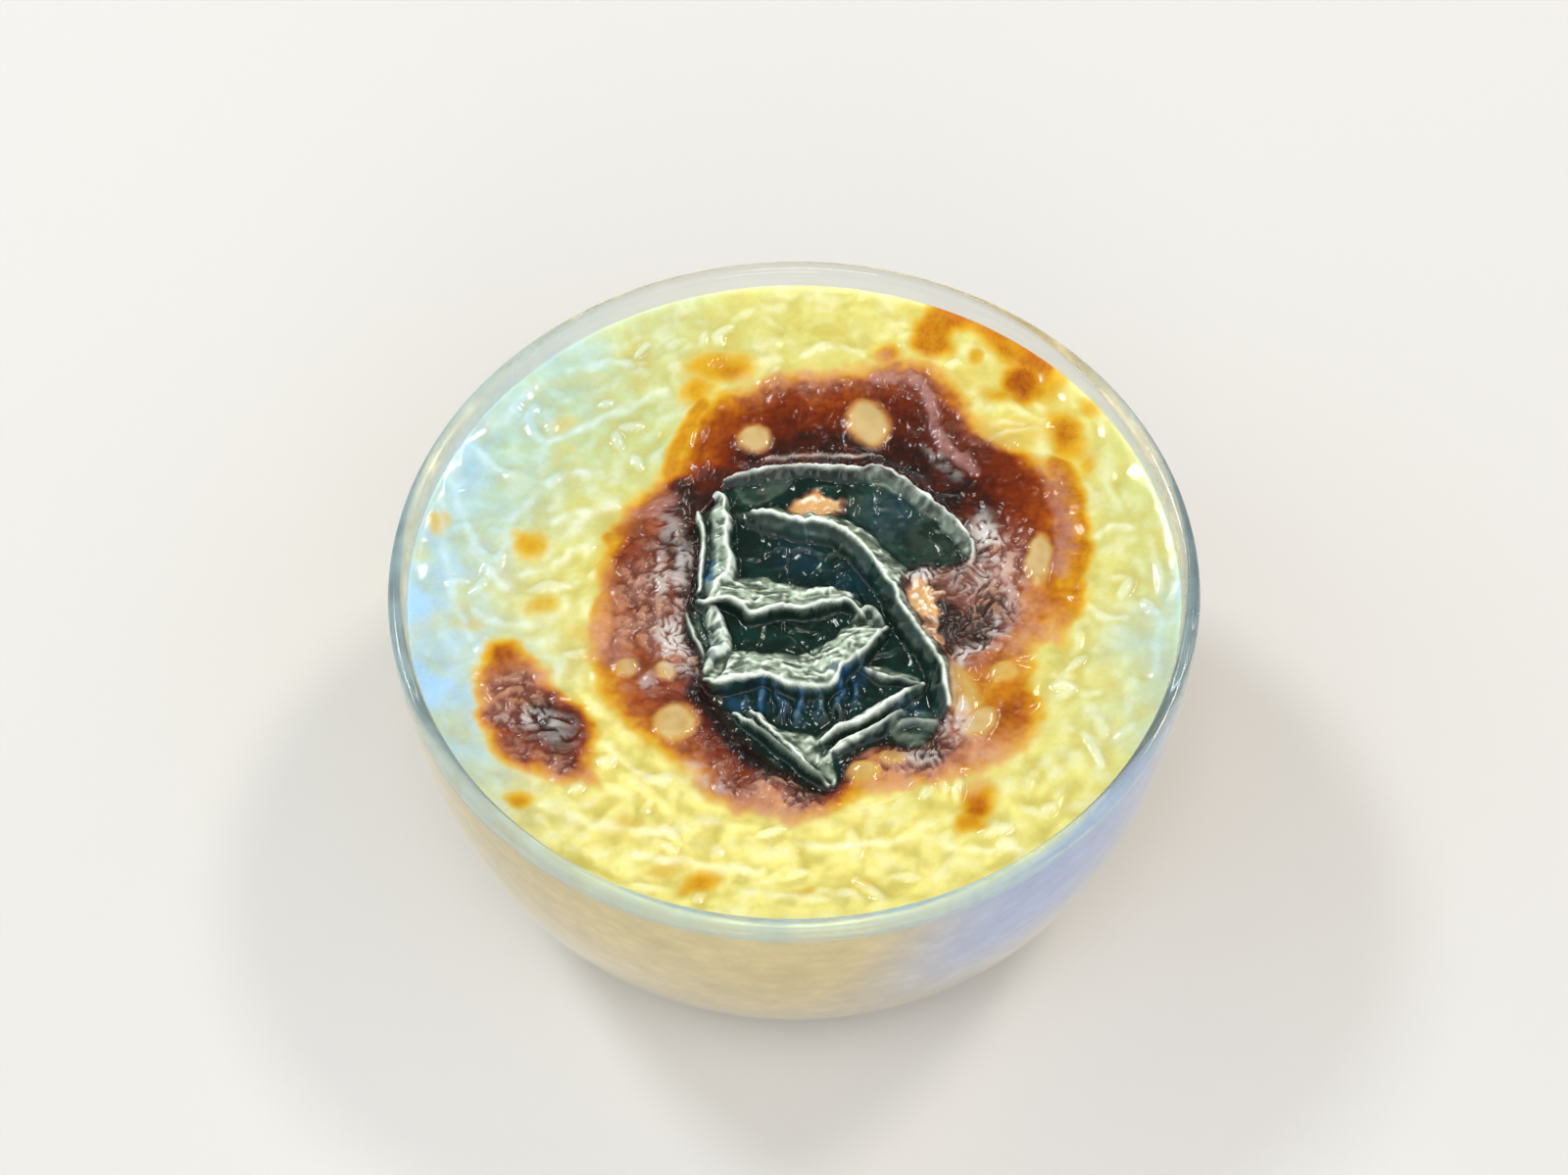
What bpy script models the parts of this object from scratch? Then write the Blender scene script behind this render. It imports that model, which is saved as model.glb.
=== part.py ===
"""A baked rice pudding in its round glass bowl.

Two solids: the clear bowl, a turned shape on a flat foot ring, and the pudding that fills it up to a
little under the rim. The pudding's skin sags towards the middle, where it has charred and gathered
into folds. Metres, +Z up, origin at the centre of the foot's underside.
"""

import math

import bpy
import numpy as np
from mathutils import Vector
from mathutils.geometry import delaunay_2d_cdt

MM = 0.001

# Bowl: the wall is a quarter ellipse that rises from the foot and flares a little towards the rim.
RIM_RADIUS = 57.5 * MM
BOWL_HEIGHT = 48.0 * MM
WALL = 2.5 * MM
FLOOR_THICKNESS = 4.0 * MM
FOOT_RADIUS = 40.0 * MM
FOOT_RING_INNER = 34.0 * MM
FOOT_RECESS = 0.8 * MM
WALL_RADIUS = 56.8 * MM  # of the ellipse, without the flare
CURVE_TOP = 43.0 * MM  # height at which the ellipse is upright
RIM_FLARE = RIM_RADIUS - WALL_RADIUS
FLOOR_RADIUS = 39.5 * MM  # the flat of the bowl's inner floor

# Pudding
FIT_GAP = 0.3 * MM  # between pudding and glass
RIM_TO_CONTACT = 3.4 * MM  # from the rim's top down to where the skin meets the glass
EDGE_SINK = 1.4 * MM  # how far the skin drops close to the glass
EDGE_REACH = 2.5 * MM
MIDDLE_SINK = 1.4 * MM  # how much further it has sunk in the middle
CHAR_SINK = 0.7 * MM  # the charred patch lies a little deeper still

# Mesh
SEGMENTS = 64
WALL_STEPS = 10
RIM_STEPS = 6
SKIN_RINGS = ((0.9, 64), (2.2, 64), (4.4, 32), (8.0, 32))  # distance in from the edge, points
FINE_STEP = 1.45  # between the skin's points on the charred patch, in millimetres
COARSE_STEP = 4.4

# The charred patch fits an ellipse: its centre and half axes, in millimetres.
CHAR_CENTRE = (3.5, -4.5)
CHAR_HALF = (20.0, 28.0)

# Folds of the charred skin: height and half-width, then the crest's path, in millimetres.
FOLDS = (
    ("rim", 0.9, 1.5, ((-14, 20), (-8, 21), (0, 23), (9, 22), (14, 21), (20, 16), (25, 9))),
    ("flap", 2.2, 1.9, ((-5, 15), (0, 13), (6, 12), (11, 7), (15, 0), (19, -8), (21, -18))),
    ("left", 1.9, 1.8, ((-11, 18), (-11, 10), (-11, 4), (-12, -2), (-10, -7), (-12, -13))),
    ("upper", 2.1, 2.1, ((-12, 1), (-7, 1), (-3, 0), (2, 0), (8, -2))),
    ("middle", 2.2, 2.3, ((-10, -13), (-5, -12), (1, -14), (6, -9), (12, -5))),
    ("lower_left", 1.7, 1.6, ((-8, -20), (-3, -25), (4, -31))),
    ("lower_right", 1.8, 1.6, ((4, -26), (9, -21), (17, -15))),
)

# Blisters in the browned ring: centre, radius and height, in millimetres.
BLISTERS = (
    (-5.4, 27.6, 2.3, 0.5),
    (11.6, 29.9, 3.1, 0.6),
    (35.2, 5.7, 2.8, 0.5),
    (-16.7, -20.7, 2.5, 0.5),
    (25.6, -21.5, 2.4, 0.4),
)

GLASS_COLOUR = (0.86, 0.90, 0.87, 1.0)
SKIN_COLOUR = (0.80, 0.66, 0.36, 1.0)


def clear_scene():
    for old in list(bpy.data.objects):
        bpy.data.objects.remove(old, do_unlink=True)


def make_material(name, colour, roughness, transmission=0.0):
    material = bpy.data.materials.new(name)
    material.use_nodes = True
    shader = material.node_tree.nodes["Principled BSDF"]
    shader.inputs["Base Color"].default_value = colour
    shader.inputs["Roughness"].default_value = roughness
    shader.inputs["Metallic"].default_value = 0.0
    shader.inputs["Transmission Weight"].default_value = transmission
    return material


def flare(z):
    """How far the rim's flare moves the wall outwards at height z."""
    return RIM_FLARE * (z / BOWL_HEIGHT) ** 3


def wall_profile(foot_radius, foot_z, wall_radius):
    """A quarter ellipse from the foot's edge, where it is level, up to where it is upright."""
    points = []
    for i in range(WALL_STEPS + 1):
        turn = math.pi / 2 * i / WALL_STEPS
        z = CURVE_TOP - (CURVE_TOP - foot_z) * math.cos(turn)
        radius = foot_radius + (wall_radius - foot_radius) * math.sin(turn)
        points.append((radius + flare(z), z))
    return points


def inside_profile():
    """The bowl's inside from the edge of its floor up to where the pudding's skin meets it."""
    points = wall_profile(FLOOR_RADIUS, FLOOR_THICKNESS, WALL_RADIUS - WALL)
    contact = BOWL_HEIGHT - RIM_TO_CONTACT
    points.append((WALL_RADIUS - WALL + flare(contact), contact))
    return points


def bowl_profile():
    """The bowl's half section from the middle of its underside, up outside, to its inner floor."""
    points = [(FOOT_RING_INNER * 0.5, FOOT_RECESS), (FOOT_RING_INNER - FOOT_RECESS, FOOT_RECESS)]
    points.append((FOOT_RING_INNER, 0.0))
    points += wall_profile(FOOT_RADIUS, 0.0, WALL_RADIUS)
    half = WALL / 2
    centre_r = RIM_RADIUS - half
    centre_z = BOWL_HEIGHT - half
    for i in range(RIM_STEPS + 1):
        turn = math.pi * i / RIM_STEPS
        points.append((centre_r + half * math.cos(turn), centre_z + half * math.sin(turn)))
    points += reversed(inside_profile())
    points.append((FLOOR_RADIUS * 0.5, FLOOR_THICKNESS))
    return points


def pudding_side():
    """The bowl's inside moved inwards, square to each stretch of wall, by the fitting gap."""
    wall = np.array(inside_profile())
    before = np.vstack([wall[:1] - (1.0, 0.0), wall[:-1]])
    after = np.vstack([wall[1:], wall[-1:] + (0.0, 1.0)])
    steps = [after - wall, wall - before]
    normals = [np.stack([-step[:, 1], step[:, 0]], 1) for step in steps]
    normals = [one / np.linalg.norm(one, axis=1)[:, None] for one in normals]
    bisector = normals[0] + normals[1]
    scale = 1 + (normals[0] * normals[1]).sum(1)
    side = wall + FIT_GAP * bisector / scale[:, None]
    side[-1] = (wall[-1, 0] - FIT_GAP, wall[-1, 1])
    return [tuple(point) for point in side]


def smooth_path(points, spacing):
    """Points along a polyline with its corners rounded, as an array."""
    path = np.array(points, float)
    for _ in range(2):
        start = path[:-1] * 0.75 + path[1:] * 0.25
        end = path[:-1] * 0.25 + path[1:] * 0.75
        cut = np.stack([start, end], 1).reshape(-1, 2)
        path = np.vstack([path[:1], cut, path[-1:]])
    steps = np.linalg.norm(np.diff(path, axis=0), axis=1)
    along = np.concatenate([[0.0], np.cumsum(steps)])
    count = max(2, int(along[-1] / spacing))
    places = np.linspace(0.0, along[-1], count)
    return np.stack([np.interp(places, along, path[:, k]) for k in (0, 1)], 1)


FOLD_PATHS = [(height, width, smooth_path(path, 0.5)) for _, height, width, path in FOLDS]


def skin_relief(x, y):
    """Height of folds and blisters over the sagging skin at x, y, all in metres."""
    place = np.array((x, y)) / MM
    relief = -CHAR_SINK / (1 + char_distance(*place) ** 8)
    folds = 0.0
    for height, width, path in FOLD_PATHS:
        distance = np.linalg.norm(path - place, axis=1).min()
        folds = max(folds, height * math.exp(-((distance / width) ** 2)))
    relief += folds * MM
    for centre_x, centre_y, radius, height in BLISTERS:
        distance = math.hypot(place[0] - centre_x, place[1] - centre_y) / radius
        relief += height * MM * max(0.0, 1 - distance * distance)
    return relief


def skin_height(x, y, edge_radius):
    """Height of the pudding's skin over the foot's underside at x, y."""
    radius = math.hypot(x, y)
    contact = BOWL_HEIGHT - RIM_TO_CONTACT
    edge = EDGE_SINK * (1 - math.exp(-(edge_radius - radius) / EDGE_REACH))
    middle = MIDDLE_SINK * math.cos(min(radius / edge_radius, 1.0) * math.pi / 2) ** 2
    fade = min(1.0, (edge_radius - radius) / EDGE_REACH)
    return contact - edge - middle + skin_relief(x, y) * fade


def ring(radius, z, count):
    """One ring of points about the Z axis."""
    turns = [2 * math.pi * i / count for i in range(count)]
    return [(radius * math.cos(turn), radius * math.sin(turn), z) for turn in turns]


def lathe_faces(ring_count):
    """Quads between neighbouring rings of points, the first ring lowest in the list."""
    faces = []
    for j in range(ring_count - 1):
        low, high = j * SEGMENTS, (j + 1) * SEGMENTS
        for i in range(SEGMENTS):
            following = (i + 1) % SEGMENTS
            faces.append((low + i, low + following, high + following, high + i))
    return faces


def pole_faces(pole, first, reverse):
    """Triangles from a pole to the ring that starts at point first."""
    faces = []
    for i in range(SEGMENTS):
        pair = (first + i, first + (i + 1) % SEGMENTS)
        faces.append((pole, pair[0], pair[1]) if reverse else (pole, pair[1], pair[0]))
    return faces


def make_body(name, points, faces, material):
    mesh = bpy.data.meshes.new(name)
    mesh.from_pydata(points, [], faces)
    mesh.update()
    mesh.shade_smooth()
    mesh.set_sharp_from_angle(angle=math.radians(40))
    mesh.materials.append(material)
    body = bpy.data.objects.new(name, mesh)
    bpy.context.collection.objects.link(body)
    return body


def make_bowl():
    """The clear glass bowl, turned about Z, with a rounded rim and a recess inside its foot ring."""
    rings = [ring(radius, z, SEGMENTS) for radius, z in bowl_profile()]
    points = [point for one in rings for point in one]
    under, floor = len(points), len(points) + 1
    points += [(0.0, 0.0, FOOT_RECESS), (0.0, 0.0, FLOOR_THICKNESS)]
    faces = lathe_faces(len(rings))
    faces += pole_faces(under, 0, False)
    faces += pole_faces(floor, (len(rings) - 1) * SEGMENTS, True)
    return make_body("bowl", points, faces, make_material("clear_glass", GLASS_COLOUR, 0.04, 1.0))


def char_distance(x, y):
    """How far x, y in millimetres lies out from the charred patch's middle: 1 is its edge."""
    return math.hypot((x - CHAR_CENTRE[0]) / CHAR_HALF[0], (y - CHAR_CENTRE[1]) / CHAR_HALF[1])


def hex_grid(step, limit):
    """Points of a triangular grid with that step, in millimetres, inside a square of half side limit."""
    row_step = step * math.sqrt(3) / 2
    rows = int(limit / row_step)
    columns = int(limit / step)
    points = []
    for row in range(-rows, rows + 1):
        shift = step / 2 if row % 2 else 0.0
        points += [(column * step + shift, row * row_step) for column in range(-columns, columns + 1)]
    return points


def skin_plan(edge_radius):
    """The skin's points seen from above, in metres: first its edge, then rings, then two grids."""
    plan = [(x, y) for x, y, _ in ring(edge_radius, 0.0, SEGMENTS)]
    for inset, count in SKIN_RINGS:
        plan += [(x, y) for x, y, _ in ring(edge_radius - inset * MM, 0.0, count)]
    inner = edge_radius / MM - SKIN_RINGS[-1][0] - COARSE_STEP / 2
    for step, on_char in ((FINE_STEP, True), (COARSE_STEP, False)):
        for x, y in hex_grid(step, inner):
            away = char_distance(x, y)
            wanted = away < 1.0 if on_char else away > 1.0 + 0.3 * step / CHAR_HALF[1]
            if wanted and math.hypot(x, y) < inner:
                plan.append((x * MM, y * MM))
    return plan


def make_pudding():
    """The pudding: the bowl's inside less the fitting gap, up to the sagging, folded skin."""
    bottom = FLOOR_THICKNESS + FIT_GAP
    side = pudding_side()
    edge_radius = side[-1][0]
    rings = [ring(side[0][0] * 0.5, bottom, SEGMENTS)]
    rings += [ring(radius, z, SEGMENTS) for radius, z in side]
    points = [point for one in rings for point in one]
    edge_start = len(points) - SEGMENTS
    plan = [Vector(place) for place in skin_plan(edge_radius)]
    triangles = delaunay_2d_cdt(plan, [], [], 0, 1e-6)[2]
    points += [(x, y, skin_height(x, y, edge_radius)) for x, y in plan[SEGMENTS:]]
    faces = lathe_faces(len(rings))
    faces += [[edge_start + corner for corner in triangle] for triangle in triangles]
    points.append((0.0, 0.0, bottom))
    faces += pole_faces(len(points) - 1, 0, False)
    return make_body("pudding", points, faces, make_material("baked_pudding", SKIN_COLOUR, 0.35))


clear_scene()
make_bowl()
make_pudding()
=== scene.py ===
import math
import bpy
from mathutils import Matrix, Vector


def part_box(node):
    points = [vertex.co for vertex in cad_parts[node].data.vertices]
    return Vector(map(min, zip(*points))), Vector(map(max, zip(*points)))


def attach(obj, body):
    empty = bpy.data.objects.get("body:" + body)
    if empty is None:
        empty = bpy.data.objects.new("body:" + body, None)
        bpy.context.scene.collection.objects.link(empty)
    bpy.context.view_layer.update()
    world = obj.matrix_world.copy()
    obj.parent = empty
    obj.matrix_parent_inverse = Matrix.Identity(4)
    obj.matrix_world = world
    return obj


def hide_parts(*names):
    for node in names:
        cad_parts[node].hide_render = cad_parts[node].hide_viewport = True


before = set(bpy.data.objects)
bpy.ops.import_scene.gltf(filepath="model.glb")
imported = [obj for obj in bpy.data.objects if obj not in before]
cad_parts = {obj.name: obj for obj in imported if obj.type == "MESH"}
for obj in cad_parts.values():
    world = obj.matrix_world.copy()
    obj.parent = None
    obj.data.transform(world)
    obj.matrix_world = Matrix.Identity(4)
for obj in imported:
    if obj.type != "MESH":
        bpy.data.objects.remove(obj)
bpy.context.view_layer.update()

from types import SimpleNamespace

import bpy
import numpy as np
from mathutils import Matrix, Vector

MM = 0.001
scene = bpy.context.scene

# ------------------------------------------------------------------------------------------------
# Camera. It looks down on the dish from in front, a long lens held a little off level.
# ------------------------------------------------------------------------------------------------
CAMERA_PLACE = (-1.4 * MM, -305.0 * MM, 494.3 * MM)
CAMERA_DOWN = math.radians(55.84)
CAMERA_ROLL = math.radians(-0.9)
CAMERA_LENS = 87.75

camera_data = bpy.data.cameras.new("camera")
camera_data.sensor_width = 36.0
camera_data.lens = CAMERA_LENS
camera = bpy.data.objects.new("camera", camera_data)
tilt = Matrix.Rotation(math.pi / 2 - CAMERA_DOWN, 4, "X")
camera.matrix_world = Matrix.Translation(CAMERA_PLACE) @ tilt @ Matrix.Rotation(CAMERA_ROLL, 4, "Z")
scene.collection.objects.link(camera)
scene.camera = camera
scene.view_settings.view_transform = "Standard"

# ------------------------------------------------------------------------------------------------
# Glass bowl. Pressed clear oven glass, turned in one piece: a flat foot ring round a shallow recess,
# a wall that curves up from it, and a fire-polished rim. Geometry Nodes turn its half section.
# ------------------------------------------------------------------------------------------------
_, bowl_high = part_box("bowl")
RIM_RADIUS = bowl_high.x / MM
BOWL_HEIGHT = bowl_high.z / MM
GLASS = 2.5
GLASS_FLOOR = 4.0
FOOT_RADIUS = 40.0
FOOT_RING_INNER = 34.0
FOOT_RECESS = 0.8
WALL_RADIUS = RIM_RADIUS - 0.7
CURVE_TOP = 43.0
FLOOR_RADIUS = 39.5
FLARE = RIM_RADIUS - WALL_RADIUS
RIM_BEAD = GLASS / 2
WALL_TOP = BOWL_HEIGHT - RIM_BEAD
WALL_STEPS = 40
BOWL_TURNS = 288


def wall_line(foot_radius, foot_z, wall_radius):
    """The wall's half section in millimetres: a quarter ellipse from the foot, then straight up."""
    turns = [math.pi / 2 * i / WALL_STEPS for i in range(WALL_STEPS + 1)]
    reach, rise = wall_radius - foot_radius, CURVE_TOP - foot_z
    points = [(foot_radius + reach * math.sin(t), CURVE_TOP - rise * math.cos(t)) for t in turns]
    points += [(wall_radius, CURVE_TOP + (WALL_TOP - CURVE_TOP) * i / 4) for i in range(1, 5)]
    return [(radius + FLARE * (z / BOWL_HEIGHT) ** 3, z) for radius, z in points]


def arc(centre, radius, start, end, steps):
    turns = [math.radians(start + (end - start) * i / steps) for i in range(steps + 1)]
    return [(centre[0] + radius * math.cos(t), centre[1] + radius * math.sin(t)) for t in turns]


half_section = [(0.0, FOOT_RECESS), (FOOT_RING_INNER * 0.6, FOOT_RECESS)]
half_section += arc((FOOT_RING_INNER - 1.6, 0.0), FOOT_RECESS, 90, 0, 5)
half_section += arc((FOOT_RING_INNER + 0.2, 0.3), 0.3, 180, 270, 3)
half_section += wall_line(FOOT_RADIUS, 0.0, WALL_RADIUS)
half_section += arc((RIM_RADIUS - RIM_BEAD, WALL_TOP), RIM_BEAD, 8, 172, 16)
inner_line = wall_line(FLOOR_RADIUS, GLASS_FLOOR, WALL_RADIUS - GLASS)
half_section += reversed(inner_line)
half_section += [(FLOOR_RADIUS * 0.5, GLASS_FLOOR), (0.0, GLASS_FLOOR)]


def add_node(tree, kind, settings=None, **values):
    """Adds a node and sets its properties, and its inputs by name or number. An output given for an
    input is linked, and a node given stands for its first output."""
    node = tree.nodes.new(kind)
    for key, value in (settings or {}).items():
        setattr(node, key, value)
    for key, value in values.items():
        socket = node.inputs[int(key[1:]) if key[1:].isdigit() else key.replace("_", " ")]
        if isinstance(value, bpy.types.Node):
            tree.links.new(value.outputs[0], socket)
        elif isinstance(value, bpy.types.NodeSocket):
            tree.links.new(value, socket)
        else:
            socket.default_value = (*value, 1.0) if socket.type == "RGBA" else value
    return node


def maths(tree, operation, *values):
    inputs = {f"i{k}": value for k, value in enumerate(values)}
    return add_node(tree, "ShaderNodeMath", {"operation": operation}, **inputs)


def ease_node(tree, value, low, high):
    """A smooth step of value from 0 at low to 1 at high."""
    smooth = {"interpolation_type": "SMOOTHSTEP"}
    return add_node(tree, "ShaderNodeMapRange", smooth, Value=value, From_Min=low, From_Max=high)


def run_tree(name, guide, tree, inputs):
    """Puts the tree on a guide object, reads the result as a plain mesh and drops the guide."""
    modifier = guide.modifiers.new("nodes", "NODES")
    modifier.node_group = tree
    for item in tree.interface.items_tree:
        if item.in_out == "INPUT" and item.name in inputs:
            modifier[item.identifier] = inputs[item.name]
    guide.update_tag()
    bpy.context.view_layer.update()
    evaluated = guide.evaluated_get(bpy.context.evaluated_depsgraph_get())
    mesh = bpy.data.meshes.new_from_object(evaluated)
    mesh.name = name
    piece = bpy.data.objects.new(name, mesh)
    scene.collection.objects.link(piece)
    guide.modifiers.remove(modifier)
    bpy.data.objects.remove(guide)
    return piece


def turning_tree():
    """Turns the guide's row of points about Z into a closed, smooth body."""
    tree = bpy.data.node_groups.new("turned_glass", "GeometryNodeTree")
    sockets = {"Geometry": "Geometry", "Section points": "Int", "Segments": "Int", "Glass": "Material"}
    for label, kind in sockets.items():
        tree.interface.new_socket(label, in_out="INPUT", socket_type="NodeSocket" + kind)
    tree.interface.new_socket("Geometry", in_out="OUTPUT", socket_type="NodeSocketGeometry")
    source = tree.nodes.new("NodeGroupInput").outputs
    rows = source["Section points"]
    columns = maths(tree, "ADD", source["Segments"], 1.0)
    grid = add_node(tree, "GeometryNodeMeshGrid",
                    Size_X=1.0, Size_Y=1.0, Vertices_X=columns, Vertices_Y=rows)
    position = tree.nodes.new("GeometryNodeInputPosition")
    place = add_node(tree, "ShaderNodeSeparateXYZ", i0=position).outputs
    turn = maths(tree, "MULTIPLY", maths(tree, "ADD", place["X"], 0.5), 2 * math.pi)
    last = maths(tree, "SUBTRACT", rows, 1.0)
    row = maths(tree, "ROUND", maths(tree, "MULTIPLY", maths(tree, "ADD", place["Y"], 0.5), last))
    sample = add_node(tree, "GeometryNodeSampleIndex", {"data_type": "FLOAT_VECTOR"},
                      Geometry=source["Geometry"], Value=position, Index=row)
    section = add_node(tree, "ShaderNodeSeparateXYZ", i0=sample).outputs
    x, y = (maths(tree, "MULTIPLY", section["X"], maths(tree, wave, turn)) for wave in ("COSINE", "SINE"))
    ring = add_node(tree, "ShaderNodeCombineXYZ", X=x, Y=y, Z=section["Z"])
    turned = add_node(tree, "GeometryNodeSetPosition", Geometry=grid, Position=ring)
    closed = add_node(tree, "GeometryNodeMergeByDistance", Geometry=turned, Distance=1e-6)
    smooth = add_node(tree, "GeometryNodeSetShadeSmooth", Geometry=closed)
    real = add_node(tree, "GeometryNodeRealizeInstances", Geometry=smooth)
    painted = add_node(tree, "GeometryNodeSetMaterial", Geometry=real, Material=source["Glass"])
    add_node(tree, "NodeGroupOutput", i0=painted)
    return tree


def new_material(name):
    """A material with an empty tree."""
    material = bpy.data.materials.new(name)
    material.use_nodes = True
    material.node_tree.nodes.clear()
    return material, material.node_tree


# Milk dried on the glass: the heights between which it starts, and for each side the axis, where on
# it the milk starts and is full, and its share. All in millimetres.
MILK_LEVEL = (44.2, 45.4)
MILK_SIDES = (("X", -18, -46, 1.0), ("X", 38, 54, 0.8), ("Y", -20, -48, 0.95))


def clear_glass():
    """Clear soda glass, milky above the pudding where splashed milk dried; lamps shine through it."""
    material, tree = new_material("clear_glass")
    coords = tree.nodes.new("ShaderNodeTexCoord").outputs["Object"]
    waves = add_node(tree, "ShaderNodeTexNoise", Vector=coords, Scale=60.0, Detail=1.0)
    bump = add_node(tree, "ShaderNodeBump", Height=waves, Strength=0.10, Distance=0.3 * MM)
    glass = add_node(
        tree, "ShaderNodeBsdfPrincipled", Base_Color=(0.90, 0.93, 0.915), Roughness=0.01, IOR=1.16,
        Transmission_Weight=1.0, Coat_Weight=0.75, Coat_Roughness=0.02, Coat_IOR=1.5,
        Normal=bump,
    )
    place = add_node(tree, "ShaderNodeSeparateXYZ", Vector=coords).outputs
    level = ease_node(tree, place["Z"], MILK_LEVEL[0] * MM, MILK_LEVEL[1] * MM)
    left, right, front = (
        maths(tree, "MULTIPLY", ease_node(tree, place[axis], start * MM, full * MM), share)
        for axis, start, full, share in MILK_SIDES
    )
    side = maths(tree, "MAXIMUM", left, maths(tree, "MAXIMUM", right, front))
    bubbles = add_node(tree, "ShaderNodeTexNoise", Vector=coords, Scale=170.0, Detail=2.0)
    strength = maths(tree, "MULTIPLY_ADD", ease_node(tree, bubbles, 0.36, 0.62), 0.16, 0.40)
    haze = maths(tree, "MULTIPLY", maths(tree, "MULTIPLY", level, side), strength)
    milk = add_node(tree, "ShaderNodeBsdfDiffuse", Color=(0.44, 0.59, 0.60))
    milky = add_node(tree, "ShaderNodeMixShader", Fac=haze, i1=glass, i2=milk)
    clear = add_node(tree, "ShaderNodeBsdfTransparent", Color=(0.93, 0.95, 0.94))
    shadow = tree.nodes.new("ShaderNodeLightPath").outputs["Is Shadow Ray"]
    surface = add_node(tree, "ShaderNodeMixShader", Fac=shadow, i1=milky, i2=clear)
    add_node(tree, "ShaderNodeOutputMaterial", Surface=surface)
    return material


section_mesh = bpy.data.meshes.new("bowl_section")
section_edges = [(i, i + 1) for i in range(len(half_section) - 1)]
section_mesh.from_pydata([(r * MM, 0.0, z * MM) for r, z in half_section], section_edges, [])
section_guide = bpy.data.objects.new("bowl_section", section_mesh)
scene.collection.objects.link(section_guide)
bowl = run_tree("glass_bowl", section_guide, turning_tree(), {
    "Section points": len(half_section),
    "Segments": BOWL_TURNS,
    "Glass": clear_glass(),
})
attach(bowl, "root")
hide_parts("bowl")

# ------------------------------------------------------------------------------------------------
# Rice pudding. Milk, rice and egg baked in the bowl until a skin forms and browns from the middle
# outwards. One closed body: a fine mesh on top, where the skin is, and plain sides in the glass.
# ------------------------------------------------------------------------------------------------
RIM_TO_CONTACT = 3.4
EDGE_SINK = 1.4
EDGE_REACH = 2.5
MIDDLE_SINK = 1.4
CHAR_SINK = 0.7
INTO_GLASS = 0.15
SKIN_CELLS = 288
SKIN_SPREAD = -0.10
WET = 0.17

# What stands up from the skin, in millimetres: blisters, milky wrinkles, lilac seams and the browned
# skin as a whole. The rice grains under it: how many, and the square and the circle they lie in.
BLISTER_RISE = 0.62
WRINKLE_RISE = 0.35
SEAM_RISE = 0.35
BROWNED_RISE = 0.30
GRAIN_BUMPS = 360
GRAIN_SQUARE = 53
GRAIN_CIRCLE = 52

# The oval of skin round the charred middle that is a piece of its own, in millimetres, and how far
# the browned skin lies under it.
OVAL_CENTRE = (4.6, -4.8)
OVAL_HALF = (24.5, 32.5)
OVAL_SINK = 1.2

# Linear colours of the skin, raw and browned, and of the pudding's side behind the glass.
CREAM = (0.69, 0.64, 0.18)
BRIGHT_CREAM = (0.88, 0.79, 0.25)
MINT_CREAM = (0.43, 0.60, 0.36)
OLIVE_CREAM = (0.58, 0.48, 0.10)
MILK_WHITE = (0.66, 0.82, 0.80)
WARM_WHITE = (0.90, 0.88, 0.56)
LILAC = (0.46, 0.25, 0.23)
MILK_BLUE = (0.40, 0.65, 0.93)
PALE_BLISTER = (0.54, 0.35, 0.14)
# A painted highlight on the top of each blister.
BLISTER_HIGHLIGHT = (0.66, 0.49, 0.23)
PURPLE = (0.36, 0.19, 0.15)
PINK = (0.66, 0.35, 0.20)
# A painted grey reflection on glossy patches of the browned skin.
GLAZE_REFLECTION_GREY = (0.68, 0.65, 0.61)
SIDE_CREAM = (0.86, 0.70, 0.42)
SIDE_BROWN = (0.60, 0.46, 0.20)
SIDE_FOOT = (0.72, 0.58, 0.34)
# Painted cool light that falls on the pudding's side at the front right.
SIDE_PAINTED_COOL_LIGHT = (0.32, 0.42, 0.72)
BAKE_STEPS = (0.0, 0.12, 0.24, 0.36, 0.47, 0.58, 0.72, 0.86, 1.0)
BAKE_COLOURS = (
    (0.72, 0.66, 0.22), (0.72, 0.54, 0.11), (0.68, 0.38, 0.020), (0.52, 0.175, 0.005),
    (0.34, 0.072, 0.005), (0.20, 0.028, 0.004), (0.095, 0.013, 0.004), (0.040, 0.010, 0.006),
    (0.012, 0.007, 0.006),
)

# Outlines in millimetres, from above: the browned ring, the charred middle in it and the separate
# browned patch at the left.
RING_OUTLINE = (
    (-18, 21), (-15.5, 28), (-12.5, 34.5), (-5, 38), (2, 40), (9, 39.5), (13, 42), (19, 41), (23, 39),
    (25, 33.5), (28, 27), (33, 24.5), (38, 22), (41.5, 16), (42.5, 8), (40, 1), (37.5, -7), (33, -10.5),
    (34.5, -18), (33.5, -24), (28.5, -29), (20, -32), (8, -33.5), (1, -38), (-6, -36.5), (-12, -32),
    (-19, -26), (-25, -21), (-28, -13), (-28.5, -3), (-27.5, 7), (-24, 16),
)
CHAR_OUTLINE = (
    (-15, 20), (-11, 21.5), (-4, 22.5), (2, 23.4), (9, 22.7), (13, 22.9), (18, 19.2), (23, 14), (26.5, 9),
    (25, 5.5), (20, 4.7), (15.8, 4.7), (15.5, .5), (18.5, -6), (21.5, -11), (22.3, -18), (20, -22.5),
    (17.5, -26), (14, -25.5), (10, -25), (7, -28), (5.5, -32.5), (2, -32), (-4, -28), (-9, -22),
    (-12.5, -16), (-14, -10), (-16, -4), (-14.5, 4), (-14.5, 13),
)
PATCH_OUTLINE = (
    (-45, -9), (-41, -6.5), (-37, -10), (-33, -16), (-28.5, -20), (-29, -28), (-26, -32.5), (-33, -30.5),
    (-41, -27.5), (-44.5, -20),
)

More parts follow.
